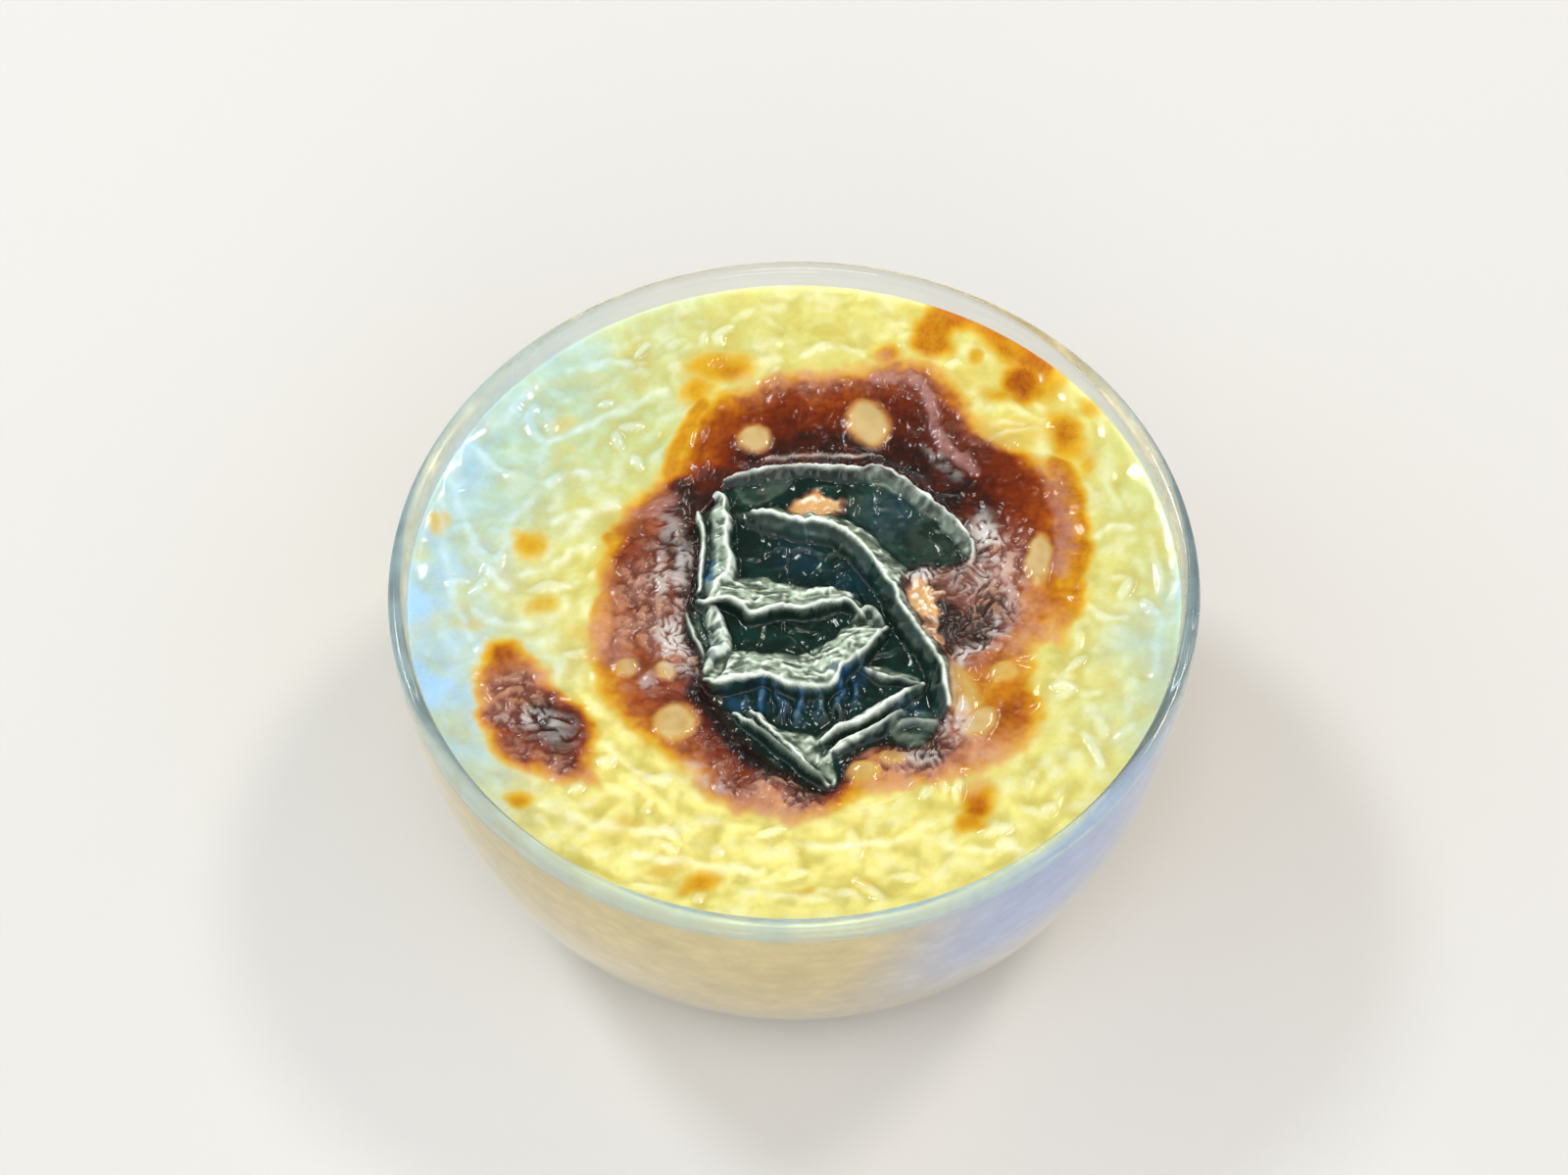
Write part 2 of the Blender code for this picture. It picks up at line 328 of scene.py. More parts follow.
# Inside the outlines: x, y, how far the skin is baked there (0 to 1) and how purple it is.
BAKED_POINTS = (
    (-15.5, 30, .34, 0), (-14, 34, .28, 0), (40.5, 17, .34, 0), (41.8, 10, .34, 0), (38.5, 21, .4, 0),
    (-15, 24, .46, .25), (-12, 30, .52, 0), (-8, 33.5, .52, 0), (-9, 25, .62, .1), (0, 33, .64, 0),
    (2, 28, .68, 0), (6, 34, .6, 0), (5, 25.5, .76, .2), (10, 35.5, .56, .1), (14, 36, .62, .25),
    (17, 33, .7, .15), (15, 26, .76, .1), (20, 28, .8, .3), (20, 38, .6, .5), (24, 33, .58, .4),
    (22, 22, .78, .25), (26, 25, .68, .4), (29, 20, .7, .1), (31, 15, .66, .2), (33, 20, .62, 0),
    (36, 17, .54, 0), (38, 11, .46, .1), (33, 9, .6, .35), (39.5, 4, .34, 0), (36.5, 0, .38, .1),
    (-7, 37, .46, .7), (2, 37.6, .46, .9), (8, 38.4, .46, .7), (13, 40, .46, .7), (18, 40.5, .42, .5),
    (28, 8, .66, .8), (25, 3, .72, .8), (22, -4, .92, .3), (27, -1, .66, .85), (31, 3, .52, .9),
    (32, -4, .42, .95), (30, -8, .38, .8), (26, -8, .72, .5), (24, -11.5, .6, .5), (34, -2, .4, .6),
    (20, -13, .5, .6), (24, -14, .3, .5), (30, -12, .32, .3), (30.5, -20, .46, .2), (27, -16, .3, .2),
    (32, -26, .34, .5), (26, -28, .4, .9), (20, -28, .5, .8), (18, -24, .62, .6), (14, -29, .38, .9),
    (22, -31, .34, .8), (8, -28, .32, .7), (5, -33.5, .52, .1), (2, -36, .36, .9), (-4, -35, .4, .9),
    (-8, -31, .62, .5), (-12, -28, .5, .5), (-6, -26, .86, .1), (-10, -23, .84, .2), (-15, -26, .4, .4),
    (-12, -18.5, .76, .2), (-20, -22.5, .38, .3), (-17, -16, .54, .3), (-20.5, -16, .64, .4),
    (-24, -15, .36, .3), (-22, -10, .5, .4), (-25, -5, .5, .7), (-20, -4, .62, .9), (-17, -8, .52, .9),
    (-27, -1, .44, .5), (-22, 3, .6, .8), (-18, 2, .7, .6), (-26, 8, .54, .2), (-22, 12, .62, .4),
    (-17, 10, .68, .5), (-16, 16, .72, .3), (-20, 16.5, .5, .5), (-23, 15, .4, .3), (-43, -9, .36, 0),
    (-41, -13, .5, .7), (-38, -17, .6, .7), (-35, -21.3, .9, .2), (-37, -24, .7, .5), (-31, -25, .7, .3),
    (-41, -25, .4, .5), (-34, -29, .38, .7), (-29, -31, .34, .6),
)
# Over the whole skin: x, y, how minty, how bright yellow and how milky blue the unbaked skin is.
CREAM_POINTS = (
    (0, 50, .1, .1, 0), (20, 47, 0, .2, 0), (-20, 48, .35, 0, .1), (-34, 40, .8, 0, .35),
    (-25, 32, .6, 0, 0), (-14, 42, .2, 0, 0), (-44, 25, .9, 0, .72), (-36, 25, .8, 0, .1),
    (-52, 5, .6, 0, 1), (-44, 12, .9, 0, .34), (-30, 18, .35, .2, 0), (-35, 5, .1, .2, 0),
    (-45, -5, .6, .2, .5), (-53, -15, .5, 0, .95), (-37, 0, .1, .3, 0), (-49, -27, .4, 0, .5),
    (-42, -38, .3, .4, .2), (-30, -38, 0, .9, 0), (-24, -26, 0, .8, 0), (-15, -42, 0, 1, 0),
    (0, -45, 0, .9, 0), (15, -45, 0, 1, 0), (15, -37, 0, .7, 0), (30, -38, .1, .7, 0),
    (40, -30, .3, .5, 0), (38, -15, .1, .2, 0), (47, -20, .25, .1, .05), (45, 0, .05, .1, 0),
    (54, -8, .7, 0, .5), (53, -22, .6, 0, .5), (46, 15, .05, .1, 0), (52, 15, .4, 0, .1),
    (45, 27, .1, .2, 0), (48, 22, .4, 0, 0), (10, 45, 0, .1, 0), (31, 40, 0, .3, 0), (38, 33, 0, .5, 0),
)
# Spots: centre x and y, half sizes, turn in degrees, and the level each reaches.
AMBER_SPOTS = (
    (34.6, 36.6, 3, 3.2, 0, .43), (31, 35, 3, 1.6, 0, .26), (40.4, 27.4, 2.8, 5, 20, .32),
    (43, 21.5, 1.6, 2.6, -30, .2), (27.5, 42, 1.2, 1.5, 0, .34), (-10.4, 40.7, 5.2, 3, 5, .3),
    (-14, 36.5, 3, 2.4, 0, .25), (14.5, 43, 2.4, 1.8, 0, .34), (-37.5, 9.3, 2.6, 2.6, 0, .25),
    (-36, -1.2, 2.4, 1.6, 0, .2), (-51.3, 12.7, 1.6, 2.2, 0, .18), (-33.6, 31, 2.8, 1.8, 30, .12),
    (-38.3, -33.3, 2.2, 1.7, 0, .26), (-13.3, -47, 3.2, 1.8, 30, .27), (-18, -45, 4, 1.2, 10, .16),
    (25, -35, 2.3, 3.4, -20, .36), (23.5, -38, 2.4, 1.8, 0, .3), (.6, -48.7, 1.8, 1, 0, .18),
    (37.5, -2, 1.6, 7.5, 5, .33), (-33, -44, 4, 1.4, -30, .13), (-24, -38, 3, 2, 0, .14),
    (-30, -6, 3, 3, 0, .12), (9, -47.5, 3, 1, 0, .14), (-46, -4, 2, 1.4, 0, .12),
    (44, 31, 2.2, 1.2, -50, .22),
)
# Bands: half width, the level each reaches, and the path. Amber, burnt and lilac ones.
AMBER_BANDS = (
    (2.8, .345, ((21, 44.5), (21.4, 47.5), (24, 49.8), (28, 48.6), (31.5, 45.7), (34.4, 42.4), (36.8, 39),
        (37.2, 36))),
    (1.3, .3, ((-26.5, 11), (-25.4, 5), (-27.6, 0), (-28, -6))),
    (1.6, .3, ((-17, 20), (-17.4, 25), (-15.4, 30), (-13, 34))),
    (2.1, .33, ((38.6, 22), (41, 14), (41.4, 7), (39.6, 0), (38, -4))),
)
SCORCHED_BANDS = (
    (2.2, .36, ((-13.4, -12.4), (-11.6, -17), (-8.4, -22.6), (-4, -27.4), (1.4, -32.6))),
    (2.6, .5, ((20.6, -4), (22.6, -6.6), (25, -8), (28.8, -3))),
    (1.8, .22, ((-16.4, 20), (-16.6, 12), (-16.4, 6))),
    (2.2, .16, ((-6, 25.6), (3, 27), (11, 26.4), (18, 24), (24, 19), (29, 13))),
    (1.6, .16, ((-35.5, -19), (-34, -23), (-32, -27))),
    (1.4, .25, ((12.6, -27.6), (17, -28.6), (20.4, -25))),
)
LILAC_BANDS = (
    (.9, .75, ((12, 39.2), (17, 38.8), (20, 36.4), (20.8, 32), (21.4, 27.8), (23.6, 24.2), (27.2, 21.7))),
    (1.4, .6, ((36.6, 24), (38.7, 19.6), (39.2, 14.6), (39.4, 9.4), (38.4, 4))),
    (1.2, .45, ((29, 3), (31, -1), (30.6, -5))),
    (1.2, .45, ((-27, -9), (-23.6, -11), (-21.4, -14.6))),
    (1, .5, ((-24, 14), (-20.6, 15.4), (-17.4, 17.4))),
    (1.2, .5, ((-13, -31), (-7, -35.6), (0, -36.4))),
)
PALE_SPOTS = (
    (-5.4, 27.6, 2.5, 2.5, 0, 1), (11.6, 30, 2.9, 3.9, 0, 1), (35.2, 5.7, 1.8, 4.1, -5, 1),
    (-16.7, -20.7, 2.7, 2.9, 0, .9), (25.5, -22, 2, 2.8, -30, .95), (22.5, -16, 3, 4.5, 20, .7),
    (-24, -12, 1.5, 1.5, 0, .7), (-18.1, -12, 1.5, 1.4, 0, .8), (9, -29.5, 2.2, 1.9, 0, .7),
    (29, -13.5, 1.6, 1.3, 0, .6), (28, 39.5, 3.6, 5.2, -10, .5), (32, 28.2, 5.2, 3.2, -10, .9),
    (39.6, 34.3, 2.4, 3.4, 0, .6), (-27, 6, 1, 1.3, 0, .4), (13, -27.2, 1.8, 1.3, 0, .7),
)
# Glossy wet patches of the browned skin, where a grey reflection is painted on all but the deepest hollows.
GLAZE_AND_REFLECTION_SPOTS = (
    (28.4, -5.5, 1.8, 2, 0, 1), (24.5, -11, 3.2, 1.3, 20, .9), (-17.5, 5, 2.4, 5.5, 0, .7),
    (-17, -7, 2.6, 4.2, 0, .9), (-36, -20.5, 4.2, 1.6, -10, .7), (-33, -23.5, 3, 1.2, 0, .3),
    (28, 9, 2.2, 4, 20, .95), (17.6, 3.6, 2.4, 1.7, 0, 1), (-14.5, -10.5, 2.8, 1.8, 0, .7),
    (22.2, -20, 1.6, 4.2, 10, .75), (-13, -30, 3.4, 1.4, -30, .6), (26, 3, 3.6, 2.4, 0, .5),
    (17, -27, 2.6, 1.2, 0, .6), (-18, 13, 1.6, 2.4, 0, .4), (22, 23, 1.2, 4, 40, .35),
    (-22, -14, 2.4, 2, 0, .35), (31, 2, 2, 5, 0, .35),
)
# Milky wrinkles that stand up from the raw skin, painted white along their crests, partly as milk and partly
# as a painted highlight: half width, how white, and the path.
STROKES = (
    (.9, .9, ((-50, 25), (-48.5, 18), (-47, 12), (-45, 7), (-41, 2))),
    (.7, .6, ((-51, 16), (-50, 8), (-48.5, 0), (-46, -6))),
    (.7, .7, ((-47, 27), (-44, 23), (-41, 21.5))),
    (.8, .7, ((-36, 20), (-32, 22), (-28, 21.5))),
    (.9, .8, ((-34.5, 13.6), (-30, 14.8), (-26, 16.4))),
    (.9, .7, ((-44, 30), (-41, 33), (-37.5, 38))),
    (.7, .6, ((-35, 28), (-30, 30.5), (-24, 34), (-18, 37))),
    (.7, .7, ((-38.5, 4), (-34, 5.6), (-30.5, 9))),
    (.6, .6, ((-34, 1.5), (-31, 3.2))),
    (.7, .6, ((-45.5, -2), (-42, -3.8), (-38, -4.6))),
    (.6, .5, ((-33, 40), (-28, 42), (-24, 42))),
    (.7, .6, ((-41, 14), (-38, 16), (-37, 19))),
    (.7, .7, ((-31, -36), (-25, -38.6), (-17, -38.8))),
    (.7, .7, ((-22, -42.5), (-13, -44.6), (-5, -45.3))),
    (.6, .6, ((0, -41), (7, -42), (14, -41))),
    (.7, .6, ((18, -40.5), (24, -43), (30, -42.6))),
    (.6, .5, ((-8, -48.6), (0, -50), (8, -49.8))),
    (.6, .6, ((-26, -25), (-23, -28.4), (-18.6, -31))),
    (.6, .5, ((2, 43), (6, 44.6), (11, 43))),
    (.6, .6, ((42, -3), (44, -5), (46.6, -5))),
    (.6, .6, ((44, 9.6), (46.6, 11), (49, 10.6))),
    (.6, .5, ((36, -14), (39, -17), (42, -17.6))),
    (.6, .5, ((40, -24), (42.4, -27), (41.6, -30))),
    (.5, .6, ((29, 26.6), (32, 28.6), (35.4, 28.4))),
    (.5, .6, ((29.6, 29.6), (32, 30.4), (34, 29.8))),
)


def smooth_line(points, closed=False, cuts=2):
    """A polyline with its corners cut a few times, as an array of points."""
    line = np.array(points, float)
    for _ in range(cuts):
        following = np.roll(line, -1, 0) if closed else line[1:]
        here = line if closed else line[:-1]
        cut = np.stack([here * 0.75 + following * 0.25, here * 0.25 + following * 0.75], 1)
        cut = cut.reshape(-1, 2)
        line = cut if closed else np.vstack([line[:1], cut, line[-1:]])
    return line


FAR = 9.0


def from_line(line, x, y, closed=False):
    """For points x, y: distance from the line (FAR at most), side (1 is left), distance to its ends."""
    best, side, along = np.full(x.shape, FAR), np.ones(x.shape), np.zeros(x.shape)
    low, high = line.min(0) - FAR, line.max(0) + FAR
    near = np.nonzero((x > low[0]) & (x < high[0]) & (y > low[1]) & (y < high[1]))[0]
    ends = np.roll(line, -1, 0) if closed else line[1:]
    starts = line if closed else line[:-1]
    travelled = 0.0
    for start, end in zip(starts, ends):
        step = end - start
        length = math.hypot(*step)
        if length < 1e-6:
            continue
        dx, dy = x[near] - start[0], y[near] - start[1]
        share = np.clip((dx * step[0] + dy * step[1]) / length**2, 0, 1)
        distance = np.hypot(dx - share * step[0], dy - share * step[1])
        closer = distance < best[near]
        chosen = near[closer]
        best[chosen] = distance[closer]
        along[chosen] = travelled + share[closer] * length
        side[chosen] = np.where(step[0] * dy[closer] - step[1] * dx[closer] > 0, 1.0, -1.0)
        travelled += length
    return best, side, np.minimum(along, travelled - along)


def inside_depth(outline, x, y):
    """How deep a point lies inside a closed outline, negative outside."""
    line = smooth_line(outline, closed=True)
    distance = from_line(line, x, y, closed=True)[0]
    crossings = np.zeros(x.shape, int)
    for start, end in zip(line, np.roll(line, -1, 0)):
        if start[1] != end[1]:
            spans = (start[1] > y) != (end[1] > y)
            cross_x = start[0] + (y - start[1]) / (end[1] - start[1]) * (end[0] - start[0])
            crossings += spans & (x < cross_x)
    return np.where(crossings % 2 == 1, distance, -distance)


def ease(value, low, high):
    share = np.clip((value - low) / (high - low), 0, 1)
    return share * share * (3 - 2 * share)


# Random relief. Each pattern has a size in millimetres and a seed of its own, and where it says so
# a number of octaves, each half as large and half as strong as the one before.
def ripple(x, y, size, seed):
    """Smooth random hills, from about -1 to 1, each about size across."""
    angles = np.random.default_rng(seed).random((64, 64)) * 2 * math.pi
    u, v = x / size + 17.3, y / size + 9.1
    column, row = np.floor(u).astype(int), np.floor(v).astype(int)
    u, v = u - column, v - row
    total = np.zeros(x.shape)
    for i in (0, 1):
        for j in (0, 1):
            angle = angles[(column + i) % 64, (row + j) % 64]
            slope = np.cos(angle) * (u - i) + np.sin(angle) * (v - j)
            total += slope * ease(1 - np.abs(u - i), 0, 1) * ease(1 - np.abs(v - j), 0, 1)
    return total * 1.5


def rough(x, y, size, seed, octaves=3):
    """Hills with smaller hills on them."""
    return sum(ripple(x, y, size * 0.5**k, seed + k) * 0.5**k for k in range(octaves))


def drift(x, y, size, seeds, octaves=1):
    """A random step in x and one in y for each point, for outlines that should wander."""
    return np.stack([rough(x, y, size, seed, octaves) for seed in seeds])


def creases(x, y, size, seed, octaves=3):
    """Sharp crests between smooth hollows, from about 0 to 1."""
    return 1 - np.clip(np.abs(rough(x, y, size, seed, octaves)) * 2.2, 0, 1)


def billows(x, y, size, seed, octaves=2):
    """Rounded swellings with sharp valleys between them, from about -1 to 1."""
    parts = [(np.abs(ripple(x, y, size * 0.5**k, seed + k)) * 2.6 - 0.8) * 0.5**k for k in range(octaves)]
    return np.clip(sum(parts), -1.2, 1.4)


def wrinkles(x, y, size, seed):
    """Long low ripples that run round the middle, from about -1 to 1, each about size wide."""
    dx, dy = x - OVAL_CENTRE[0], y - OVAL_CENTRE[1]
    across = np.hypot(dx, dy) + 1.2 * ripple(x, y, 9.0, seed + 7)
    right = ripple(np.arctan2(dy, dx) * 12.0, across, size, seed)
    left = ripple(np.arctan2(-dy, -dx) * 12.0, across, size, seed + 1)
    return left + (right - left) * ease(dx, -8, 8)


def spot_field(spots, x, y, softness):
    """The strongest spot at each point, with soft edges."""
    field = np.zeros(x.shape)
    for centre_x, centre_y, half_x, half_y, turn, level in spots:
        cosine, sine = math.cos(math.radians(turn)), math.sin(math.radians(turn))
        dx, dy = x - centre_x, y - centre_y
        u, v = (dx * cosine + dy * sine) / half_x, (dy * cosine - dx * sine) / half_y
        field = np.maximum(field, level * ease(-np.hypot(u, v), -1 - softness, -1 + softness))
    return field


def band_field(bands, x, y):
    """The strongest band at each point, with soft edges."""
    field = np.zeros(x.shape)
    for half_width, level, path in bands:
        distance = from_line(smooth_line(path, cuts=3), x, y)[0]
        field = np.maximum(field, level * ease(-distance, -1.6 * half_width, -0.4 * half_width))
    return field


def spread(points, x, y, reach):
    """Values given at points, blended between them over about reach; one row for each value."""
    weights = np.full(x.shape, 1e-9)
    totals = [np.zeros(x.shape) for _ in points[0][2:]]
    for point_x, point_y, *values in points:
        weight = np.exp(-((x - point_x) ** 2 + (y - point_y) ** 2) / (2 * reach * reach))
        weights += weight
        totals = [total + weight * value for total, value in zip(totals, values)]
    return [total / weights for total in totals]


def stroke_field(x, y):
    """The raised milky wrinkles, 1 on their crests, where their white is partly a painted highlight."""
    wobbly = (x, y) + 0.5 * drift(x, y, 3.0, (411, 421), 2)
    field = np.zeros(x.shape)
    for half_width, level, path in STROKES:
        distance = from_line(smooth_line(path), *wobbly)[0]
        level = level * (0.75 + 0.6 * ripple(x, y, 2.2, 431))
        field = np.maximum(field, level * np.exp(-((distance / half_width) ** 2)))
    return np.clip(field, 0, 1)


def skin_masks(x, y):
    """How far the skin is baked at x, y in millimetres, and the other masks its looks need."""
    warped = (x, y) + 0.9 * drift(x, y, 6.0, (11, 31), 3)
    fine = warped + 0.12 * drift(x, y, 1.8, (51, 71), 2)
    mottle = rough(x, y, 3.0, 91, 2)
    ring_depth = inside_depth(RING_OUTLINE, *fine) + 0.5 * mottle
    patch_depth = inside_depth(PATCH_OUTLINE, *fine) + 0.4 * mottle
    browned = np.maximum(ease(ring_depth, -3.0, 3.2), ease(patch_depth, -2.2, 2.6))
    bake, purple = spread(BAKED_POINTS, *fine, 2.6)
    bake = bake * browned * (1 + 0.12 * mottle)
    purple = purple * ease(np.maximum(ring_depth, patch_depth), -4.5, -1.0)
    amber = np.maximum(spot_field(AMBER_SPOTS, *fine, 0.80), band_field(AMBER_BANDS, *fine))
    amber *= 1 + 0.15 * mottle
    pits = ease(creases(x, y, 1.5, 131, 2), 0.55, 0.95) * ease(amber, 0.2, 0.4)
    bake = np.maximum(bake, amber + 0.05 * pits)
    bake = np.maximum(bake, 0.07 * ease(rough(x, y, 7.0, 111), 0.0, 0.7))
    pale = spot_field(PALE_SPOTS, x * 0.3 + warped[0] * 0.7, y * 0.3 + warped[1] * 0.7, 0.34)
    depth = inside_depth(CHAR_OUTLINE, x * 0.5 + fine[0] * 0.5, y * 0.5 + fine[1] * 0.5)
    bake += 0.22 * browned * ease(depth + 0.8 * mottle, -2.6, -0.2)
    bake += band_field(SCORCHED_BANDS, *fine) * (1 + 0.5 * mottle)
    # The glossy patches: wetter, flatter, and carrying a painted grey reflection.
    glaze_and_reflection = spot_field(GLAZE_AND_REFLECTION_SPOTS, *fine, 0.6) * ease(rough(x, y, 3.0, 141, 2), -0.7, 0.0)
    mint, yellow, blue = spread(CREAM_POINTS, *warped, 5.5)
    return SimpleNamespace(
        bake=bake * (1 - pale) + 0.16 * pale, browned=browned, purple=purple * (1 - pale),
        pale=pale * browned, depth=depth, glaze_and_reflection=glaze_and_reflection, mint=mint, yellow=yellow, blue=blue,
        stroke=stroke_field(x, y), lilac=band_field(LILAC_BANDS, *fine) * browned,
    )


def rice_under_skin(x, y, masks):
    """Rounded bumps where rice grains lie just under the skin, each about 6 by 2.4 mm."""
    rng = np.random.default_rng(5)
    bumps = np.zeros(x.shape)
    for _ in range(GRAIN_BUMPS):
        centre_x, centre_y = rng.uniform(-GRAIN_SQUARE, GRAIN_SQUARE, 2)
        turn = rng.normal(0.4, 0.9)
        half_long, half_wide = rng.uniform(1.4, 3.1), rng.uniform(0.8, 1.3)
        tall = 0.08 + 0.52 * rng.random() ** 2
        if math.hypot(centre_x, centre_y) > GRAIN_CIRCLE:
            continue
        near = np.nonzero((np.abs(x - centre_x) < 3.6) & (np.abs(y - centre_y) < 3.6))[0]
        dx, dy = x[near] - centre_x, y[near] - centre_y
        u = (dx * math.cos(turn) + dy * math.sin(turn)) / half_long
        v = (dy * math.cos(turn) - dx * math.sin(turn)) / half_wide
        bumps[near] = np.maximum(bumps[near], tall * np.clip(1 - (u * u + v * v), 0, 1))
    return bumps * (1 - ease(masks.bake, 0.40, 0.60)) * (1 - masks.pale)


def leather(x, y, masks):
    """Relief of the browned skin in millimetres: swellings with fine creases, flatter on its glossy wet
    patches.
    """
    bent = (x, y) + 1.3 * drift(x, y, 4.0, (335, 337), 2)
    relief = 0.40 * rough(x, y, 5.0, 331, 2) + 0.34 * billows(*bent, 2.8, 351, 2)
    relief *= (0.45 + 0.75 * np.clip(masks.purple, 0, 1)) * (1 - 0.4 * masks.glaze_and_reflection)
    return relief - 0.34 * (0.3 + masks.purple) * creases(*bent, 1.7, 355, 2)


def raw_relief(x, y):
    """Relief of the raw skin in millimetres: broad hills, puckers round the middle and swellings."""
    bent = (x, y) + 1.8 * drift(x, y, 6.0, (373, 377))
    puckered = 0.08 + 0.24 * ease(rough(x, y, 9.0, 379, 2), -0.25, 0.40)
    relief = 0.36 * rough(x, y, 7.0, 371, 2) + puckered * wrinkles(*bent, 2.6, 391)
    return relief + 0.12 * billows(*bent, 5.0, 399, 1)


def skin_height(x, y, masks):
    """Height of the skin over the table in millimetres, without the charred folds."""
    radius = np.hypot(x, y)
    inwards = np.clip(SKIN_RADIUS - radius, 0, None)
    height = BOWL_HEIGHT - RIM_TO_CONTACT - EDGE_SINK * (1 - np.exp(-inwards / EDGE_REACH))
    height -= MIDDLE_SINK * np.cos(np.clip(radius / SKIN_RADIUS, 0, 1) * math.pi / 2) ** 2
    browned = ease(masks.bake, 0.38, 0.60)
    relief = -CHAR_SINK * ease(masks.depth, -2.0, 2.0)
    relief += browned * leather(x, y, masks) * (1 - 0.9 * ease(masks.depth, -0.5, 1.5))
    relief += (1 - browned) * raw_relief(x, y)
    relief += BROWNED_RISE * browned + SEAM_RISE * masks.lilac
    relief += BLISTER_RISE * masks.pale ** 0.8 + WRINKLE_RISE * masks.stroke
    relief += rice_under_skin(x, y, masks)
    return height + relief * np.clip(inwards / EDGE_REACH, 0, 1)


def mix(first, second, share):
    first, second = np.asarray(first, float), np.asarray(second, float)
    return first + (second - first) * np.clip(share, 0, 1)[:, None]


def skin_colour(x, y, masks, crest):
    """Linear colour of the skin, with painted highlights on crests and painted shade in hollows; crest is
    about 1 on sharp crests and -1 in hollows.
    """
    cloud = rough(x + 1.5 * ripple(x, y, 6.0, 153), y, 4.6, 151)
    whitish = mix(WARM_WHITE, MILK_WHITE, masks.mint + masks.blue)
    bake = np.clip(masks.bake + 0.05 * ripple(x, y, 0.9, 171) * masks.browned, 0, 1)
    baked = np.stack([np.interp(bake, BAKE_STEPS, [c[k] for c in BAKE_COLOURS]) for k in range(3)], 1)
    purple = ease(masks.purple, 0.15, 0.95) * (0.60 + 0.5 * rough(x, y, 2.8, 181))
    purple *= ease(bake, 0.05, 0.22) * (1 - 0.75 * ease(bake, 0.6, 0.9))
    # A painted highlight on the top of each blister's dome.
    dome_highlight = ease(masks.pale + 0.3 * ripple(x, y, 1.6, 187), 0.6, 1.1)
    leathery = masks.browned * ease(bake, 0.34, 0.5)
    # Painted pink highlights on the crests of the leathery browned skin.
    pink_crest_highlights = leathery * ease(masks.purple, 0.2, 0.8) * ease(crest, 0.2, 0.9)
    colour = mix(CREAM, MINT_CREAM, masks.mint)
    for layer, share in (
        (BRIGHT_CREAM, masks.yellow),
        (OLIVE_CREAM, 0.65 * ease(cloud, 0.0, 0.7) * (1 - 0.6 * masks.mint)),
        (whitish, 0.38 * ease(-cloud, 0.10, 0.75)),
        # Painted shade in the hollows and painted highlights on the crests of the raw skin.
        (OLIVE_CREAM, 0.65 * np.clip(-crest, 0, 1) * (1 - 0.6 * masks.mint)),
        (whitish, 0.50 * np.clip(crest, 0, 1)),
        (MILK_BLUE, masks.blue * (0.75 + 0.5 * rough(x, y, 6.0, 161))),
        (baked, ease(bake, 0.02, 0.20)),
        (mix(PURPLE, PINK, 1 - ease(bake, 0.36, 0.60)), purple),
        (LILAC, masks.lilac * (0.7 + 0.5 * ripple(x, y, 1.8, 185))),
        (PALE_BLISTER, masks.pale * 0.9),
        (BLISTER_HIGHLIGHT, 0.7 * dome_highlight),
        # Painted pink highlights on the leathery crests and painted shade in their hollows.
        (PINK, 0.45 * pink_crest_highlights),
        (BAKE_COLOURS[6], 0.38 * leathery * ease(-crest, 0.2, 1.0)),
        # White along the raised wrinkles: partly milk, partly a painted highlight.
        (whitish, 0.8 * masks.stroke),
        # A painted grey reflection on the glossy patches.
        (GLAZE_REFLECTION_GREY, masks.glaze_and_reflection * masks.browned * ease(crest, -0.8, 0.2)),
    ):
        colour = mix(colour, layer, share)
    return colour


def side_colour(points):
    """Colour of the pudding behind the glass: cream, browner front left, and a band of painted cool light
    front right.
    """
    turn, height = np.arctan2(points[:, 1], points[:, 0]), points[:, 2]
    colour = mix(SIDE_CREAM, SIDE_BROWN, 0.9 * ease(np.cos(turn + 1.95), 0.30, 0.90))
    colour = mix(colour, SIDE_FOOT, 0.6 * ease(-height, -34, -12))
    slant = np.cos(turn + 0.98 - 0.005 * height)
    # A band of painted cool light on the side, front right, fading out towards the foot.
    return mix(colour, SIDE_PAINTED_COOL_LIGHT, 0.84 * ease(slant, 0.76, 1.0) ** 1.5 * ease(height, 2, 30))


def gloss_of(masks):
    """Roughness of the surface: wet on raw skin and blisters, drier where it has baked."""
    return WET + 0.07 * ease(masks.bake, 0.2, 0.5) * (1 - masks.glaze_and_reflection) - 0.02 * masks.pale


def disc_plan(cells, radius, bulge=0.0):
    """A square grid of cells mapped onto a disc, finer in the middle by bulge."""
    steps = np.linspace(-1, 1, cells + 1)
    a, b = np.meshgrid(steps, steps, indexing="ij")
    reach = np.maximum(np.abs(a), np.abs(b))
    flat_a, flat_b = np.where(a == 0, 1, a), np.where(b == 0, 1, b)
    turn = np.where(
        np.abs(a) >= np.abs(b),
        math.pi / 4 * b / flat_a + np.where(a < 0, math.pi, 0),
        math.pi / 2 - math.pi / 4 * a / flat_b + np.where(b < 0, math.pi, 0),
    )
    out = radius * ((1 - bulge) * reach + bulge * reach**3)
    return (out * np.cos(turn)).ravel(), (out * np.sin(turn)).ravel()


def disc_edge(cells):
    """Indices of the grid's outer points, anticlockwise from above."""
    n = cells + 1
    index = np.arange(n * n).reshape(n, n)
    return np.concatenate([index[-1, :-1], index[:0:-1, -1], index[0, :0:-1], index[:-1, 0]])


def sharpness(z, cells, reach, tall):
    """Each point's height over the average round it, in units of tall, from -1 to 1."""
    grid = z.reshape(cells + 1, cells + 1)
    blurred = grid.copy()
    for axis in (0, 1):
        padded = np.pad(blurred, [(reach, reach) if k == axis else (0, 0) for k in (0, 1)], "edge")
        slices = [np.take(padded, range(k, k + cells + 1), axis) for k in range(2 * reach + 1)]
        blurred = sum(slices) / len(slices)
    return np.clip((grid - blurred) / tall, -1, 1).ravel()


